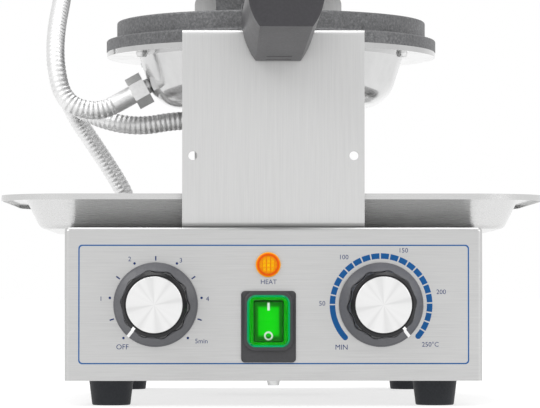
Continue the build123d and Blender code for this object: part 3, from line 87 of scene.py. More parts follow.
def axes(tree, place):
    """The X, Y and Z outputs of a position."""
    parts = tree.nodes.new("ShaderNodeSeparateXYZ")
    tree.links.new(place, parts.inputs["Vector"])
    return parts.outputs


def noise(tree, place, scale, detail=4.0, stretch=(1, 1, 1), roughness=0.55):
    """A noise value between 0 and 1, stretched along the axes; scale counts per metre."""
    mapping = tree.nodes.new("ShaderNodeMapping")
    mapping.inputs["Scale"].default_value = stretch
    tree.links.new(place, mapping.inputs["Vector"])
    node = tree.nodes.new("ShaderNodeTexNoise")
    node.inputs["Scale"].default_value = scale
    node.inputs["Detail"].default_value = detail
    node.inputs["Roughness"].default_value = roughness
    tree.links.new(mapping.outputs["Vector"], node.inputs["Vector"])
    return node.outputs["Fac"]


def maths(tree, operation, first, second=None):
    """One Math node whose operands are sockets or numbers."""
    node = tree.nodes.new("ShaderNodeMath")
    node.operation = operation
    for socket, value in zip(node.inputs, (first, second)):
        if isinstance(value, (int, float)):
            socket.default_value = value
        elif value is not None:
            tree.links.new(value, socket)
    return node.outputs[0]


def ramp(tree, value, stops):
    """Colours along a value: stops are (position, (r, g, b))."""
    node = tree.nodes.new("ShaderNodeValToRGB")
    elements = node.color_ramp.elements
    while len(elements) < len(stops):
        elements.new(0.5)
    for element, (position, colour) in zip(elements, stops):
        element.position = position
        element.color = (*colour, 1.0)
    tree.links.new(value, node.inputs["Fac"])
    return node.outputs["Color"]


def spread(tree, value, low, high, start=0.25, end=0.75):
    """The value's start..end range mapped to low..high."""
    node = tree.nodes.new("ShaderNodeMapRange")
    node.inputs["From Min"].default_value = start
    node.inputs["From Max"].default_value = end
    node.inputs["To Min"].default_value = low
    node.inputs["To Max"].default_value = high
    tree.links.new(value, node.inputs["Value"])
    return node.outputs["Result"]


def bump(tree, shader, height, strength, distance):
    """Surface relief from a height value."""
    node = tree.nodes.new("ShaderNodeBump")
    node.inputs["Strength"].default_value = strength
    node.inputs["Distance"].default_value = distance
    tree.links.new(height, node.inputs["Height"])
    tree.links.new(node.outputs["Normal"], shader.inputs["Normal"])


def grey(value, tint=(1.0, 1.0, 1.0)):
    """A grey of this level, with an optional tint."""
    return tuple(value * t for t in tint)


def brushed(name, level, along, roughness=0.34, contrast=0.10, relief=0.05):
    """Stainless sheet with brushing lines along one axis, and faint handling marks."""
    material, tree, shader, place = new_material(name)
    stretch = [60.0, 60.0, 60.0]
    stretch[along] = 1.0
    lines = noise(tree, place, 26.0, 6.0, stretch, 0.7)
    clouds = noise(tree, place, 9.0, 3.0)
    mixed = maths(tree, "ADD", maths(tree, "MULTIPLY", lines, 0.8), maths(tree, "MULTIPLY", clouds, 0.2))
    low, high = level * (1 - contrast), min(level * (1 + contrast), 0.98)
    colour = ramp(tree, mixed, [(0.3, grey(low)), (0.7, grey(high, (1.0, 1.0, 0.995)))])
    tree.links.new(colour, shader.inputs["Base Color"])
    tree.links.new(spread(tree, mixed, roughness + 0.07, roughness - 0.06), shader.inputs["Roughness"])
    shader.inputs["Metallic"].default_value = 1.0
    bump(tree, shader, lines, relief, 0.0003)
    return material


def metal(name, level, roughness, grain=240.0, contrast=0.08, tint=(1, 1, 1), metallic=1.0, relief=0.04):
    """Plain metal with fine uneven wear."""
    material, tree, shader, place = new_material(name)
    fine = noise(tree, place, grain, 5.0)
    low, high = level * (1 - contrast), level * (1 + contrast)
    colour = ramp(tree, fine, [(0.3, grey(low, tint)), (0.7, grey(high, tint))])
    tree.links.new(colour, shader.inputs["Base Color"])
    tree.links.new(spread(tree, fine, roughness + 0.05, roughness - 0.04), shader.inputs["Roughness"])
    shader.inputs["Metallic"].default_value = metallic
    bump(tree, shader, fine, relief, 0.0003)
    return material


def plastic(name, colour, roughness, grain=900.0, contrast=0.12, relief=0.08, specular=0.5, coat=0.0):
    """Moulded plastic or rubber with a fine texture."""
    material, tree, shader, place = new_material(name)
    fine = noise(tree, place, grain, 4.0)
    broad = noise(tree, place, 30.0, 3.0)
    mixed = maths(tree, "ADD", maths(tree, "MULTIPLY", fine, 0.6), maths(tree, "MULTIPLY", broad, 0.4))
    dark = tuple(c * (1 - contrast) for c in colour)
    light = tuple(min(1.0, c * (1 + contrast)) for c in colour)
    tree.links.new(ramp(tree, mixed, [(0.35, dark), (0.65, light)]), shader.inputs["Base Color"])
    tree.links.new(spread(tree, mixed, roughness + 0.06, roughness - 0.05), shader.inputs["Roughness"])
    shader.inputs["Specular IOR Level"].default_value = specular
    shader.inputs["Coat Weight"].default_value = coat
    bump(tree, shader, fine, relief, 0.0002)
    return material


def cast_iron(name):
    """Dark coated casting: a granular skin with lighter specks."""
    material, tree, shader, place = new_material(name)
    grains = noise(tree, place, 620.0, 5.0, roughness=0.7)
    patches = noise(tree, place, 28.0, 4.0)
    mixed = maths(tree, "ADD", maths(tree, "MULTIPLY", grains, 0.75), maths(tree, "MULTIPLY", patches, 0.25))
    stops = [(0.30, (0.060, 0.060, 0.062)), (0.52, (0.125, 0.126, 0.130)), (0.72, (0.230, 0.232, 0.236))]
    tree.links.new(ramp(tree, mixed, stops), shader.inputs["Base Color"])
    tree.links.new(spread(tree, mixed, 0.62, 0.46), shader.inputs["Roughness"])
    shader.inputs["Metallic"].default_value = 0.35
    bump(tree, shader, grains, 0.35, 0.0005)
    return material


def polar(tree, place, centre_x, centre_z):
    """(radius in metres, angle in turns) about an axis along Y."""
    spot = axes(tree, place)
    dx = maths(tree, "SUBTRACT", spot["X"], centre_x)
    dz = maths(tree, "SUBTRACT", spot["Z"], centre_z)
    square = maths(tree, "ADD", maths(tree, "MULTIPLY", dx, dx), maths(tree, "MULTIPLY", dz, dz))
    radius = maths(tree, "SQRT", square)
    angle = maths(tree, "DIVIDE", maths(tree, "ARCTAN2", dz, dx), 2 * math.pi)
    return radius, angle


def knob_plastic_with_painted_shade(name, centre, valley_degrees):
    """Moulded knob: a satin grey skirt, and painted shade that darkens the grip inside a lobed outline following
    its flutes.
    """
    material, tree, shader, place = new_material(name)
    fine = noise(tree, place, 1100.0, 4.0)
    radius, angle = polar(tree, place, centre.x, centre.z)
    around = maths(tree, "MULTIPLY", angle, 2 * math.pi)
    turned = maths(tree, "SUBTRACT", around, math.radians(valley_degrees))
    lobes = maths(tree, "COSINE", maths(tree, "MULTIPLY", turned, KNOB_FLUTES))
    # painted shade: near black inside the scalloped outline round the grip, satin grey on the skirt outside it
    outline = maths(tree, "ADD", radius, maths(tree, "MULTIPLY", lobes, GRIP_SHADE_LOBE))
    skirt = spread(tree, outline, 0.0, 0.8, GRIP_SHADE_RADIUS - GRIP_SHADE_EDGE, GRIP_SHADE_RADIUS + GRIP_SHADE_EDGE)
    mixed = maths(tree, "ADD", skirt, maths(tree, "MULTIPLY", fine, 0.2))
    stops = [(0.05, (0.008, 0.008, 0.009)), (0.18, (0.014, 0.014, 0.016)),
             (0.82, (0.095, 0.096, 0.104)), (0.98, (0.125, 0.126, 0.135))]
    tree.links.new(ramp(tree, mixed, stops), shader.inputs["Base Color"])
    tree.links.new(spread(tree, fine, 0.40, 0.32), shader.inputs["Roughness"])
    shader.inputs["Specular IOR Level"].default_value = 0.22
    bump(tree, shader, fine, 0.05, 0.0002)
    return material


def spun_cap(name, centre_x, centre_z):
    """A spun aluminium disc: fine turning rings, and soft radial highlights painted into its colour as painted
    reflection.
    """
    material, tree, shader, place = new_material(name)
    radius, angle = polar(tree, place, centre_x, centre_z)
    # painted reflection: lighter and darker sectors with two-fold symmetry round the cap, as the radial highlights
    # of a spun disc
    ray = tree.nodes.new("ShaderNodeCombineXYZ")
    turns = maths(tree, "MULTIPLY", angle, 4 * math.pi)
    tree.links.new(maths(tree, "COSINE", turns), ray.inputs["X"])
    tree.links.new(maths(tree, "SINE", turns), ray.inputs["Y"])
    painted_glints = noise(tree, ray.outputs["Vector"], 0.9, 1.0, roughness=0.4)
    stops = [(0.34, grey(0.60)), (0.46, grey(0.70)), (0.60, grey(0.74))]
    tree.links.new(ramp(tree, painted_glints, stops), shader.inputs["Base Color"])
    rings = maths(tree, "SINE", maths(tree, "MULTIPLY", radius, TURNING_RINGS))
    tree.links.new(spread(tree, painted_glints, 0.42, 0.26), shader.inputs["Roughness"])
    shader.inputs["Metallic"].default_value = 0.75
    bump(tree, shader, rings, 0.06, 0.0002)
    return material


def lamp_lens(name, centre_x, centre_z, lens_radius):
    """A lit amber lens: yellow prisms in the middle, a red ring, and an orange rim."""
    material, tree, shader, place = new_material(name)
    radius, _ = polar(tree, place, centre_x, centre_z)
    share = maths(tree, "DIVIDE", radius, lens_radius)
    spot = axes(tree, place)
    waves = []
    for axis, weight in (("X", 1.0), ("Z", 0.75)):
        turns = maths(tree, "MULTIPLY", spot[axis], 2 * math.pi / PRISM_PITCH)
        waves.append(maths(tree, "MULTIPLY", maths(tree, "SINE", turns), weight))
    height = maths(tree, "MAXIMUM", *waves)
    dimple = maths(tree, "MULTIPLY", height, maths(tree, "LESS_THAN", share, PRISM_SHARE))
    lines = spread(tree, dimple, 0.0, 0.62, 0.0, 0.8)
    uneven = maths(tree, "MAXIMUM", maths(tree, "MULTIPLY", share, 0.9), lines)
    stops = [
        (0.00, (0.78, 0.44, 0.000)),
        (0.46, (0.74, 0.33, 0.000)),
        (0.62, (0.64, 0.17, 0.000)),
        (0.72, (0.60, 0.050, 0.000)),
        (0.80, (0.70, 0.13, 0.000)),
        (0.90, (0.90, 0.45, 0.020)),
    ]
    colour = ramp(tree, uneven, stops)
    tree.links.new(colour, shader.inputs["Base Color"])
    tree.links.new(colour, shader.inputs["Emission Color"])
    shader.inputs["Emission Strength"].default_value = 0.08
    tree.links.new(spread(tree, dimple, 0.30, 0.42, 0.0, 1.0), shader.inputs["Roughness"])
    shader.inputs["Specular IOR Level"].default_value = 0.1
    bump(tree, shader, dimple, 0.8, 0.0004)
    return material


def lit_green(name, middle, half_width, half_height):
    """A translucent green rocker, lit from inside, with a darker border."""
    material, tree, shader, place = new_material(name)
    spot = axes(tree, place)
    shares = []
    for axis, centre, half in (("X", middle.x, half_width), ("Z", middle.z, half_height)):
        offset = maths(tree, "ABSOLUTE", maths(tree, "SUBTRACT", spot[axis], centre))
        shares.append(maths(tree, "DIVIDE", offset, half))
    share = maths(tree, "MAXIMUM", *shares)
    mottle = noise(tree, place, 160.0, 3.0)
    uneven = maths(tree, "ADD", maths(tree, "MULTIPLY", share, 0.8), maths(tree, "MULTIPLY", mottle, 0.04))
    stops = [(0.0, (0.0, 0.56, 0.000)), (0.56, (0.0, 0.52, 0.000)), (0.66, (0.0, 0.16, 0.000)),
             (0.84, (0.0, 0.13, 0.000))]
    colour = ramp(tree, uneven, stops)
    tree.links.new(colour, shader.inputs["Base Color"])
    tree.links.new(colour, shader.inputs["Emission Color"])
    shader.inputs["Emission Strength"].default_value = 0.35
    shader.inputs["Specular IOR Level"].default_value = 0.05
    tree.links.new(spread(tree, mottle, 0.40, 0.32), shader.inputs["Roughness"])
    return material


def glow_green(name):
    """The lit green ring that the cover sits round."""
    material, tree, shader, place = new_material(name)
    mottle = noise(tree, place, 140.0, 3.0)
    colour = ramp(tree, mottle, [(0.3, (0.0, 0.22, 0.000)), (0.7, (0.0, 0.29, 0.000))])
    tree.links.new(colour, shader.inputs["Base Color"])
    tree.links.new(colour, shader.inputs["Emission Color"])
    shader.inputs["Emission Strength"].default_value = 0.30
    shader.inputs["Specular IOR Level"].default_value = 0.05
    tree.links.new(spread(tree, mottle, 0.40, 0.30), shader.inputs["Roughness"])
    return material


def clear_cover(name, low, high, wall):
    """A thin clear cover with a faint green tint, whose side walls pick up the green light."""
    material, tree, shader, place = new_material(name)
    waves = noise(tree, place, 120.0, 2.0)
    stops = [(0.3, (0.90, 1.0, 0.92)), (0.7, (0.94, 1.0, 0.96))]
    tree.links.new(ramp(tree, waves, stops), shader.inputs["Base Color"])
    spot = axes(tree, place)
    middle = (low + high) / 2
    squares = []
    for axis, centre, half in (("X", middle.x, (high.x - low.x) / 2), ("Z", middle.z, (high.z - low.z) / 2)):
        offset = maths(tree, "ABSOLUTE", maths(tree, "SUBTRACT", spot[axis], centre))
        past = maths(tree, "MAXIMUM", maths(tree, "SUBTRACT", offset, half - COVER_CORNER), 0.0)
        squares.append(maths(tree, "MULTIPLY", past, past))
    distance = maths(tree, "SQRT", maths(tree, "ADD", *squares))
    beyond = maths(tree, "SUBTRACT", distance, COVER_CORNER - wall)
    side = spread(tree, beyond, 0.0, 1.0, -0.3 * MM, 0.5 * MM)
    glow = ramp(tree, side, [(0.0, (0.0, 0.0, 0.0)), (0.6, (0.0, 0.12, 0.02)), (1.0, (0.0, 0.16, 0.07))])
    tree.links.new(glow, shader.inputs["Emission Color"])
    shader.inputs["Emission Strength"].default_value = 0.8
    tree.links.new(spread(tree, waves, 0.06, 0.02), shader.inputs["Roughness"])
    shader.inputs["Transmission Weight"].default_value = 1.0
    shader.inputs["IOR"].default_value = 1.15
    bump(tree, shader, waves, 0.03, 0.0004)
    return material


def box_centre(node):
    """The middle of a CAD node's box at rest."""
    low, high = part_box(node)
    return (low + high) / 2


def joint_spot(name):
    """Where a hinge of the frame lies at rest, in metres."""
    return next(j for j in frame["joints"] if j["name"] == name)["pos_m"]


timer_centre = box_centre("timer_knob_cap")
thermostat_centre = box_centre("thermostat_knob_cap")
lamp_centre = box_centre("lamp_lens")
rocker_centre = box_centre("rocker_button")

MAT = {
    "panel_steel": brushed("panel_steel", 0.52, 0, 0.36, 0.08),
    "upright_steel": brushed("upright_steel", 0.58, 2, 0.40, 0.05),
    "tray_steel": brushed("tray_steel", 0.60, 0, 0.26, 0.05, 0.03),
    "polished_steel": metal("polished_steel", 0.54, 0.13, 60.0, 0.05, relief=0.02),
    "cast_plate": cast_iron("cast_plate"),
    "bakelite": plastic("bakelite", (0.036, 0.035, 0.039), 0.40, 700.0, 0.14, 0.10, 0.35),
    "timer_grip": knob_plastic_with_painted_shade("timer_grip", timer_centre, TIMER_VALLEY),
    "thermostat_grip": knob_plastic_with_painted_shade("thermostat_grip", thermostat_centre, THERMOSTAT_VALLEY),
    "rubber": plastic("rubber", (0.016, 0.018, 0.022), 0.55, 900.0, 0.2, 0.15, 0.3),
    "steel_hardware": metal("steel_hardware", 0.66, 0.40, 500.0, 0.10),
    "black_plastic": plastic("black_plastic", (0.030, 0.030, 0.033), 0.40, 900.0, 0.15, 0.08),
    "gasket_fibre": plastic("gasket_fibre", (0.62, 0.60, 0.55), 0.85, 1400.0, 0.18, 0.5, 0.2),
    "heater_sheath": metal("heater_sheath", 0.24, 0.45, 380.0, 0.20, (1.0, 0.96, 0.92)),
    "fitting_steel": metal("fitting_steel", 0.80, 0.46, 400.0, 0.05),
    "conduit_steel": metal("conduit_steel", 0.72, 0.46, 120.0, 0.04, relief=0.01),
    "cream_plastic": plastic("cream_plastic", (0.66, 0.63, 0.54), 0.5),
    "amber_lens": lamp_lens("amber_lens", lamp_centre.x, lamp_centre.z, LENS_RADIUS),
    "green_lens": lit_green("green_lens", rocker_centre, ROCKER_HALF_WIDTH, ROCKER_HALF_HEIGHT),
    "clear_cover": clear_cover("clear_cover", *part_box("switch_cover"), COVER_WALL),
    "glow_green": glow_green("glow_green"),
    "timer_cap": spun_cap("timer_cap", timer_centre.x, timer_centre.z),
    "thermostat_cap": spun_cap("thermostat_cap", thermostat_centre.x, thermostat_centre.z),
    "blue_ink": plastic("blue_ink", (0.008, 0.088, 0.270), 0.6, 1500.0, 0.06, 0.02, 0.15),
    "navy_ink": plastic("navy_ink", (0.010, 0.030, 0.130), 0.6, 1500.0, 0.06, 0.02, 0.15),
    "white_ink": plastic("white_ink", (0.90, 0.90, 0.90), 0.5, 1500.0, 0.03, 0.02, 0.3),
}
OWN_MATERIAL = {
    "front_bracket": "upright_steel",
    "rear_bracket": "upright_steel",
    "drip_tray": "tray_steel",
    "timer_knob": "timer_grip",
    "thermostat_knob": "thermostat_grip",
    "timer_knob_cap": "timer_cap",
    "thermostat_knob_cap": "thermostat_cap",
    "switch_cover": "clear_cover",
    "lower_dome_fitting": "fitting_steel",
    "lid_dome_fitting": "fitting_steel",
    "supply_elbow": "fitting_steel",
    "supply_gland": "fitting_steel",
}
SLOT_MATERIAL = {"brushed_steel": "panel_steel"}
for row in frame["record"]["subparts"]:
    node_name, slot_name = row["node"], row["material_slot"]
    chosen = OWN_MATERIAL.get(node_name) or SLOT_MATERIAL.get(slot_name, slot_name)
    mesh = NODES[node_name].data
    mesh.materials.clear()
    mesh.materials.append(MAT[chosen])

# ---- mesh helpers ----


def piece(name, verts, faces, material, body, smooth=False):
    """A mesh object from vertices and faces that rides on a body, unless body is None."""
    mesh = bpy.data.meshes.new(name)
    mesh.from_pydata([tuple(v) for v in verts], [], faces)
    builder = bmesh.new()
    builder.from_mesh(mesh)
    bmesh.ops.recalc_face_normals(builder, faces=builder.faces)
    builder.to_mesh(mesh)
    builder.free()
    mesh.materials.append(MAT[material])
    if smooth:
        mesh.polygons.foreach_set("use_smooth", [True] * len(mesh.polygons))
    obj = bpy.data.objects.new(name, mesh)
    bpy.context.scene.collection.objects.link(obj)
    if body:
        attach(obj, body)
    return obj


def add_prism(verts, faces, outline, y_front, y_back):
    """A closed slab whose outline lies in XZ, between two Y planes."""
    start, count = len(verts), len(outline)
    verts += [(x, y_front, z) for x, z in outline]
    verts += [(x, y_back, z) for x, z in outline]
    faces.append([start + i for i in range(count)])
    faces.append([start + count + i for i in reversed(range(count))])
    for i in range(count):
        j = (i + 1) % count
        faces.append([start + i, start + j, start + count + j, start + count + i])


def add_ring(verts, faces, outer, inner, y_front, y_back):
    """A closed band between two outlines of the same number of points."""
    start, count = len(verts), len(outer)
    for y in (y_front, y_back):
        for loop in (outer, inner):
            verts += [(x, y, z) for x, z in loop]
    for i in range(count):
        j = (i + 1) % count
        a, b, c, d = (start + k * count for k in range(4))
        faces.append([a + i, a + j, b + j, b + i])
        faces.append([c + i, d + i, d + j, c + j])
        faces.append([a + i, c + i, c + j, a + j])
        faces.append([b + i, b + j, d + j, d + i])


def clock_point(centre_x, centre_z, radius, degrees):
    """A point at this radius, with the angle clockwise from straight up."""
    turn = math.radians(degrees)
    return centre_x + radius * math.sin(turn), centre_z + radius * math.cos(turn)


def arc_block(centre_x, centre_z, inner, outer, start, end, steps):
    """Outline of a ring sector."""
    angles = [start + (end - start) * i / steps for i in range(steps + 1)]
    outside = [clock_point(centre_x, centre_z, outer, a) for a in angles]
    inside = [clock_point(centre_x, centre_z, inner, a) for a in reversed(angles)]
    return outside + inside


def circle_points(centre_x, centre_z, radius, count=24):
    """Outline of a circle."""
    return [clock_point(centre_x, centre_z, radius, 360 * i / count) for i in range(count)]


def rounded_rect(low_x, high_x, low_z, high_z, radius, steps=6):
    """Outline of a rectangle with round corners."""
    points = []
    corners = [
        (high_x - radius, high_z - radius, 0),
        (high_x - radius, low_z + radius, 90),
        (low_x + radius, low_z + radius, 180),
        (low_x + radius, high_z - radius, 270),
    ]
    for corner_x, corner_z, start in corners:
        for i in range(steps + 1):
            points.append(clock_point(corner_x, corner_z, radius, start + 90 * i / steps))
    return points


def add_text(verts, faces, words, size, centre_x, centre_z, y_front, depth):
    """Flat lettering that faces the operator, centred on a point."""
    curve = bpy.data.curves.new("lettering", "FONT")
    curve.body = words
    curve.size = size
    curve.align_x = "CENTER"
    curve.align_y = "CENTER"
    curve.extrude = depth / 2
    curve.resolution_u = 3
    holder = bpy.data.objects.new("lettering", curve)
    bpy.context.scene.collection.objects.link(holder)
    bpy.context.view_layer.update()
    mesh = bpy.data.meshes.new_from_object(holder.evaluated_get(bpy.context.evaluated_depsgraph_get()))
    xs = [v.co.x for v in mesh.vertices]
    ys = [v.co.y for v in mesh.vertices]
    mid_x, mid_y = (min(xs) + max(xs)) / 2, (min(ys) + max(ys)) / 2
    start = len(verts)
    for v in mesh.vertices:
        verts.append((centre_x + v.co.x - mid_x, y_front - v.co.z + depth / 2, centre_z + v.co.y - mid_y))
    faces += [[start + i for i in face.vertices] for face in mesh.polygons]
    bpy.data.objects.remove(holder)
    bpy.data.curves.remove(curve)
    bpy.data.meshes.remove(mesh)


# ---- printing on the control panel ----
INK = 0.06 * MM
panel_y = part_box("base_housing")[0].y
ink_front, ink_back = panel_y - INK, panel_y + INK
print_verts, print_faces = [], []
label_verts, label_faces = [], []

LINE_WIDTH = 0.8 * MM
OUTER_CORNER, INNER_CORNER = 2.4 * MM, 2.0 * MM
line_edges = [-121.4 * MM, 121.6 * MM, 26.2 * MM, 100.5 * MM]
inner_edges = [edge + inward * LINE_WIDTH for edge, inward in zip(line_edges, (1, -1, 1, -1))]
line_outer = rounded_rect(*line_edges, OUTER_CORNER)
line_inner = rounded_rect(*inner_edges, INNER_CORNER)
add_ring(print_verts, print_faces, line_outer, line_inner, ink_front, ink_back)

LABEL_SIZE = 4.5 * MM
FIGURE_SIZE = 4.1 * MM
TIMER_DOTS = 6
TIMER_DOT_RING = 28.8 * MM
TIMER_DOT_RADIUS = 0.8 * MM
TIMER_FIRST_DOT = -136.0
TIMER_DOT_STEP = 54.4
TICK_INNER, TICK_OUTER = 27.4 * MM, 30.2 * MM
TICK_HALF_WIDTH = 0.42 * MM
timer_x, timer_z = timer_centre.x, timer_centre.z


def add_labels(labels, centre_x, centre_z):
    """Figures and words, each at its offset in millimetres from the middle of a knob or lamp."""
    for words, dx, dz in labels:
        size = LABEL_SIZE if words in ("OFF", "MIN") else FIGURE_SIZE
        spot = centre_x + dx * MM, centre_z + dz * MM
        add_text(label_verts, label_faces, words, size, *spot, ink_front, INK)


for step in range(TIMER_DOTS):
    dot = clock_point(timer_x, timer_z, TIMER_DOT_RING, TIMER_FIRST_DOT + TIMER_DOT_STEP * step)
    add_prism(label_verts, label_faces, circle_points(*dot, TIMER_DOT_RADIUS, 14), ink_front, ink_back)
tick_half = math.degrees(TICK_HALF_WIDTH / TIMER_DOT_RING)
for step in range(TIMER_DOTS - 1):
    angle = TIMER_FIRST_DOT + TIMER_DOT_STEP * (step + 0.5)
    tick = arc_block(timer_x, timer_z, TICK_INNER, TICK_OUTER, angle - tick_half, angle + tick_half, 1)
    add_prism(label_verts, label_faces, tick, ink_front, ink_back)
timer_labels = [
    ("OFF", -20.6, -26.2), ("1", -34.0, 3.7), ("2", -16.2, 28.4),
    ("3", 15.6, 27.6), ("4", 32.2, 3.7), ("5min", 28.4, -22.6),
]
add_labels(timer_labels, timer_x, timer_z)

RING_INNER = 28.5 * MM
RING_OUTER = 32.0 * MM
LOW_HEAT_START, LOW_HEAT_END = -132.0, -90.6
END_DISC_ANGLES = (-132.4, 130.4)
BLOCK_COUNT = 20
BLOCKS_START = -90.0
BLOCK_STEP = 222.5 / BLOCK_COUNT
BLOCK_GAP = 1.6
hot_x, hot_z = thermostat_centre.x, thermostat_centre.z
low_heat = arc_block(hot_x, hot_z, RING_INNER, RING_OUTER, LOW_HEAT_START, LOW_HEAT_END, 24)
add_prism(print_verts, print_faces, low_heat, ink_front, ink_back)
ring_middle = (RING_INNER + RING_OUTER) / 2
ring_half = (RING_OUTER - RING_INNER) / 2
for end_angle in END_DISC_ANGLES:
    cap_spot = clock_point(hot_x, hot_z, ring_middle, end_angle)
    end_disc = circle_points(*cap_spot, ring_half, 16)
    add_prism(print_verts, print_faces, end_disc, ink_front - INK / 4, ink_back)
for block in range(BLOCK_COUNT):
    start = BLOCKS_START + BLOCK_STEP * block + BLOCK_GAP / 2
    sector = arc_block(hot_x, hot_z, RING_INNER, RING_OUTER, start, start + BLOCK_STEP - BLOCK_GAP, 4)
    add_prism(print_verts, print_faces, sector, ink_front, ink_back)
hot_labels = [
    ("MIN", -24.6, -26.4), ("50", -36.6, 0.8), ("100", -22.9, 29.6),
    ("150", 14.2, 33.8), ("200", 37.4, 8.0), ("250°C", 30.6, -24.6),
]
add_labels(hot_labels, hot_x, hot_z)
add_labels([("HEAT", 0.4, -10.6)], lamp_centre.x, lamp_centre.z)
piece("dial_print", print_verts, print_faces, "blue_ink", "base")
piece("label_print", label_verts, label_faces, "navy_ink", "base")

# ---- white pointer lines on the knobs ----
POINTER_WIDTH = 1.9 * MM
POINTER_PROUD = 0.084 * MM
POINTER_DEPTH = 6  # times its height over the knob
skirt_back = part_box("timer_knob")[1].y
pointer_path = [
    (26.3, -2.2), (25.05, -4.15), (21.25, -12.0), (20.45, -30.4), (18.5, -32.8), (17.5, -32.9),
]


def add_pointer(name, centre, degrees, body):
    """A strip that follows the knob's side from the skirt's rim to the cap."""
    verts, faces = [], []
    turn = math.radians(degrees)
    out = Vector((math.sin(turn), 0, math.cos(turn)))
    side = Vector((out.z, 0, -out.x)) * (POINTER_WIDTH / 2)
    for radius, depth in pointer_path:
        base = Vector((centre.x, skirt_back + depth * MM, centre.z)) + out * (radius * MM)
        lift = (out - Vector((0, 1, 0))) * POINTER_PROUD
        sink = -lift * POINTER_DEPTH
        verts += [base + lift + side, base + lift - side, base + sink - side, base + sink + side]
    for i in range(len(pointer_path) - 1):
        a, b = 4 * i, 4 * (i + 1)
        for k in range(4):
            m = (k + 1) % 4
            faces.append([a + k, a + m, b + m, b + k])
    last = 4 * (len(pointer_path) - 1)
    faces += [[3, 2, 1, 0], [last, last + 1, last + 2, last + 3]]
    piece(name, verts, faces, "white_ink", body)


add_pointer("timer_pointer", timer_centre, -139.0, "timer")
add_pointer("thermostat_pointer", thermostat_centre, 138.5, "thermostat")

# ---- on and off marks on the tilted rocker, and the lit ring round it ----
ROCKER_TILT = math.radians(7.0)
mark_verts, mark_faces = [], []
ROCKER_REACH = 3.0 * MM
MARK_FRONT, MARK_BACK = -0.9 * MM, 1.6 * MM
BAR_HALF_WIDTH = 0.75 * MM
BAR_LOW, BAR_HIGH = 7.1 * MM, 12.0 * MM
OFF_RING_Z = -8.8 * MM
OFF_RING_RADII = (2.8 * MM, 1.75 * MM)
bar = [
    (-BAR_HALF_WIDTH, BAR_LOW), (BAR_HALF_WIDTH, BAR_LOW),
    (BAR_HALF_WIDTH, BAR_HIGH), (-BAR_HALF_WIDTH, BAR_HIGH),
]
add_prism(mark_verts, mark_faces, bar, MARK_FRONT, MARK_BACK)
off_rings = [circle_points(0, OFF_RING_Z, radius) for radius in OFF_RING_RADII]
add_ring(mark_verts, mark_faces, *off_rings, MARK_FRONT, MARK_BACK)
to_rocker = (
    Matrix.Translation(joint_spot("switch_rock"))
    @ Matrix.Rotation(ROCKER_TILT, 4, "X")
    @ Matrix.Translation((0, -ROCKER_REACH, 0))
)
mark_verts = [to_rocker @ Vector(v) for v in mark_verts]
piece("rocker_marks", mark_verts, mark_faces, "white_ink", "rocker")

ring_verts, ring_faces = [], []
cover_low, cover_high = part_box("switch_cover")
cover_middle = (cover_low + cover_high) / 2
RING_INSET = 1.35 * MM
GLOW_DEPTH, GLOW_BACK = 1.5 * MM, 0.2 * MM
outer_ring = rounded_rect(
    cover_low.x + RING_INSET, cover_high.x - RING_INSET, cover_low.z + RING_INSET, cover_high.z - RING_INSET,
    radius=3.9 * MM,
)
INNER_HALF_WIDTH, INNER_HALF_HEIGHT = 9.35 * MM, 13.0 * MM
inner_ring = rounded_rect(
    cover_middle.x - INNER_HALF_WIDTH, cover_middle.x + INNER_HALF_WIDTH,
    cover_middle.z - INNER_HALF_HEIGHT, cover_middle.z + INNER_HALF_HEIGHT, radius=1.2 * MM,
)
add_ring(ring_verts, ring_faces, outer_ring, inner_ring, cover_low.y + GLOW_DEPTH, panel_y - GLOW_BACK)
piece("switch_glow_ring", ring_verts, ring_faces, "glow_green", "base")

# ---- wafer pattern on the two baking faces ----
GRID_PITCH = 8.4 * MM
RIB_BASE = 2.4 * MM
RIB_TOP = 1.0 * MM
RIB_HEIGHT = 1.5 * MM
RIB_SUNK = 0.2 * MM
GRID_RADIUS = 95.0 * MM
iron_y = box_centre("lower_dome").y
face_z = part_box("lower_plate")[1].z
RECESS_DEPTH = 2.6 * MM
recess_z = face_z - RECESS_DEPTH


def grid_mesh():
    """Ribs with sloped sides in two directions across the round baking face."""
    verts, faces = [], []
    count = int(GRID_RADIUS / GRID_PITCH)
    for direction in (math.radians(45), math.radians(135)):
        along = Vector((math.cos(direction), math.sin(direction), 0))
        across = Vector((-along.y, along.x, 0))
        for k in range(-count, count + 1):
            offset = k * GRID_PITCH
            reach = math.sqrt(GRID_RADIUS**2 - offset**2)
            start = len(verts)
            for end in (-reach, reach):
                inward = RIB_HEIGHT if end < 0 else -RIB_HEIGHT
                for half, height, shift in (
                    (-RIB_BASE / 2, -RIB_SUNK, 0), (-RIB_TOP / 2, RIB_HEIGHT, inward),
                    (RIB_TOP / 2, RIB_HEIGHT, inward), (RIB_BASE / 2, -RIB_SUNK, 0),
                ):
                    spot = along * (end + shift) + across * (offset + half)
                    verts.append(Vector((spot.x, iron_y + spot.y, recess_z + height)))
            for i in range(4):
                j = (i + 1) % 4
                faces.append([start + i, start + j, start + 4 + j, start + 4 + i])
            faces += [[start + 3, start + 2, start + 1, start], [start + 4, start + 5, start + 6, start + 7]]
    return verts, faces


pivot = joint_spot("lid_hinge")
rib_verts, rib_faces = grid_mesh()
piece("lower_wafer_grid", rib_verts, rib_faces, "cast_plate", "iron")


def to_open_lid(point):
    """Mirror in the meeting plane of the irons, then a quarter turn open about the hinge."""
    dy, dz = point[1] - pivot[1], pivot[2] - point[2]
    return Vector((point[0], pivot[1] + dz, pivot[2] - dy))


piece("lid_wafer_grid", [to_open_lid(v) for v in rib_verts], rib_faces, "cast_plate", "lid")

# ---- ribbed flexible conduits ----
RIB_PITCH = 3.3 * MM
HOSE_RADIUS = 6.25 * MM
HOSE_GROOVE = 0.32 * MM
HOSE_SIDES = 24
RIB_STEPS = 8


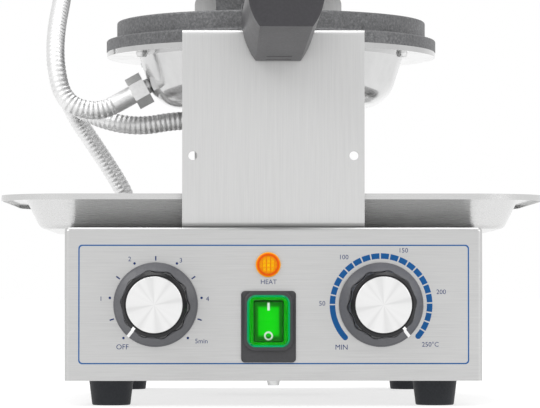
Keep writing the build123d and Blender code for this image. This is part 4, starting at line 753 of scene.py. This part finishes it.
def smooth_line(name, route):
    """Points along a smooth line through the region of a route, in metres."""
    curve = bpy.data.curves.new(name, "CURVE")
    curve.dimensions = "3D"
    spline = curve.splines.new("NURBS")
    spline.points.add(len(route) - 1)
    for point, spot in zip(spline.points, route):
        point.co = (*[c * MM for c in spot], 1.0)
    spline.order_u = 3
    spline.use_endpoint_u = True
    spline.resolution_u = 12
    holder = bpy.data.objects.new(name, curve)
    bpy.context.scene.collection.objects.link(holder)
    mesh = bpy.data.meshes.new_from_object(holder.evaluated_get(bpy.context.evaluated_depsgraph_get()))
    points = [v.co.copy() for v in mesh.vertices]
    bpy.data.objects.remove(holder)
    bpy.data.curves.remove(curve)
    bpy.data.meshes.remove(mesh)
    return points


def at_distance(points, travelled, distance):
    """The point and direction at this distance along the line."""
    low = 0
    while low < len(points) - 2 and travelled[low + 1] < distance:
        low += 1
    span = travelled[low + 1] - travelled[low]
    share = (distance - travelled[low]) / span
    return points[low].lerp(points[low + 1], share), (points[low + 1] - points[low]).normalized()


def hose(name, route, cad_node):
    """A ribbed steel hose along the route, in place of the CAD conduit, which it hides."""
    points = smooth_line(name + "_line", route)
    travelled = [0.0]
    for before, after in zip(points, points[1:]):
        travelled.append(travelled[-1] + (after - before).length)
    total = travelled[-1]
    ribs = round(total / RIB_PITCH)
    verts, faces, normal = [], [], Vector((0, 0, 1))
    stations = []
    for step in range(ribs * RIB_STEPS + 1):
        share = step / RIB_STEPS
        stations.append((share / ribs * total, 0.5 + 0.5 * math.cos(2 * math.pi * share)))
    for distance, sink in stations:
        spot, direction = at_distance(points, travelled, distance)
        normal = (normal - direction * normal.dot(direction)).normalized()
        side = direction.cross(normal)
        radius = HOSE_RADIUS - sink * HOSE_GROOVE
        for k in range(HOSE_SIDES):
            turn = 2 * math.pi * k / HOSE_SIDES
            verts.append(spot + (normal * math.cos(turn) + side * math.sin(turn)) * radius)
    for ring in range(len(stations) - 1):
        a, b = ring * HOSE_SIDES, (ring + 1) * HOSE_SIDES
        for k in range(HOSE_SIDES):
            m = (k + 1) % HOSE_SIDES
            faces.append([a + k, a + m, b + m, b + k])
    last = (len(stations) - 1) * HOSE_SIDES
    faces.append(list(reversed(range(HOSE_SIDES))))
    faces.append([last + k for k in range(HOSE_SIDES)])
    obj = piece(name, verts, faces, "conduit_steel", None, smooth=True)
    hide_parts(cad_node)
    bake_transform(obj)


LID_ROUTE = [
    (-105.45, 7, 196.67), (-115.95, 7, 190.85), (-139, 8, 198), (-145.5, 12, 224), (-146, 32, 250),
    (-142, 62, 280), (-147, 102, 308), (-158, 148, 334), (-162, 186, 358), (-147, 207, 377),
    (-124.69, 207.99, 387), (-105.45, 197.33, 387),
]
SUPPLY_ROUTE = [
    (-101, 159, 124), (-101, 159, 137.5), (-111, 157, 155), (-124, 153, 175), (-139, 146, 197),
    (-143, 122, 209), (-143, 86, 206), (-132, 48, 197), (-112, 31, 187), (-88, 27, 183),
    (-64, 27, 187.6), (-44, 27, 187.6),
]
hose("lid_hose", LID_ROUTE, "lid_conduit")
hose("supply_hose", SUPPLY_ROUTE, "supply_conduit")

# ---- floor, light and camera ----
SPAN = 14.0
FLOOR_FRONT = -6.0
floor_mesh = bpy.data.meshes.new("floor")
floor_corners = [(-SPAN, FLOOR_FRONT, 0), (SPAN, FLOOR_FRONT, 0), (SPAN, SPAN * 2, 0), (-SPAN, SPAN * 2, 0)]
floor_mesh.from_pydata(floor_corners, [], [(0, 1, 2, 3)])
floor = bpy.data.objects.new("floor", floor_mesh)
bpy.context.scene.collection.objects.link(floor)
floor_material, floor_tree, floor_shader, floor_place = new_material("floor_paint")
faint = noise(floor_tree, floor_place, 4.0, 3.0)
floor_colour = ramp(floor_tree, faint, [(0.3, grey(0.40)), (0.7, grey(0.42))])
floor_tree.links.new(floor_colour, floor_shader.inputs["Base Color"])
floor_shader.inputs["Emission Color"].default_value = (1, 1, 1, 1)
floor_shader.inputs["Emission Strength"].default_value = 0.66
floor_shader.inputs["Roughness"].default_value = 0.9
floor_shader.inputs["Specular IOR Level"].default_value = 0.1
floor_mesh.materials.append(floor_material)

world = bpy.data.worlds.new("studio")
world.use_nodes = True
world.node_tree.nodes["Background"].inputs["Color"].default_value = (1, 1, 1, 1)
world.node_tree.nodes["Background"].inputs["Strength"].default_value = 1.0
bpy.context.scene.world = world


def softbox(name, spot, target, width, height, watts):
    """A large soft area light aimed at a point."""
    light = bpy.data.lights.new(name, "AREA")
    light.shape = "RECTANGLE"
    light.size = width
    light.size_y = height
    light.energy = watts
    holder = bpy.data.objects.new(name, light)
    holder.location = spot
    holder.rotation_euler = (Vector(target) - Vector(spot)).to_track_quat("-Z", "Y").to_euler()
    bpy.context.scene.collection.objects.link(holder)


softbox("key", (-1.5, -1.6, 1.5), (0, 0, 0.2), 1.2, 1.0, 16.0)
softbox("fill", (1.6, -1.4, 1.0), (0, 0, 0.2), 1.0, 1.0, 8.0)
softbox("top", (0.0, 0.2, 1.9), (0, 0.0, 0.2), 1.4, 1.0, 14.0)

CAMERA_SPOT = (-0.0225, -2.043, 0.0704)
CAMERA_PITCH = 1.67
CAMERA_YAW = -0.61
CAMERA_LENS = 203.667
camera_data = bpy.data.cameras.new("camera")
camera_data.sensor_width = 36.0
camera_data.lens = CAMERA_LENS
camera_data.clip_end = 60.0
camera = bpy.data.objects.new("camera", camera_data)
camera.location = CAMERA_SPOT
camera.rotation_euler = (math.radians(90 + CAMERA_PITCH), 0, math.radians(CAMERA_YAW))
bpy.context.scene.collection.objects.link(camera)
bpy.context.scene.camera = camera
bpy.context.scene.view_settings.view_transform = "Standard"
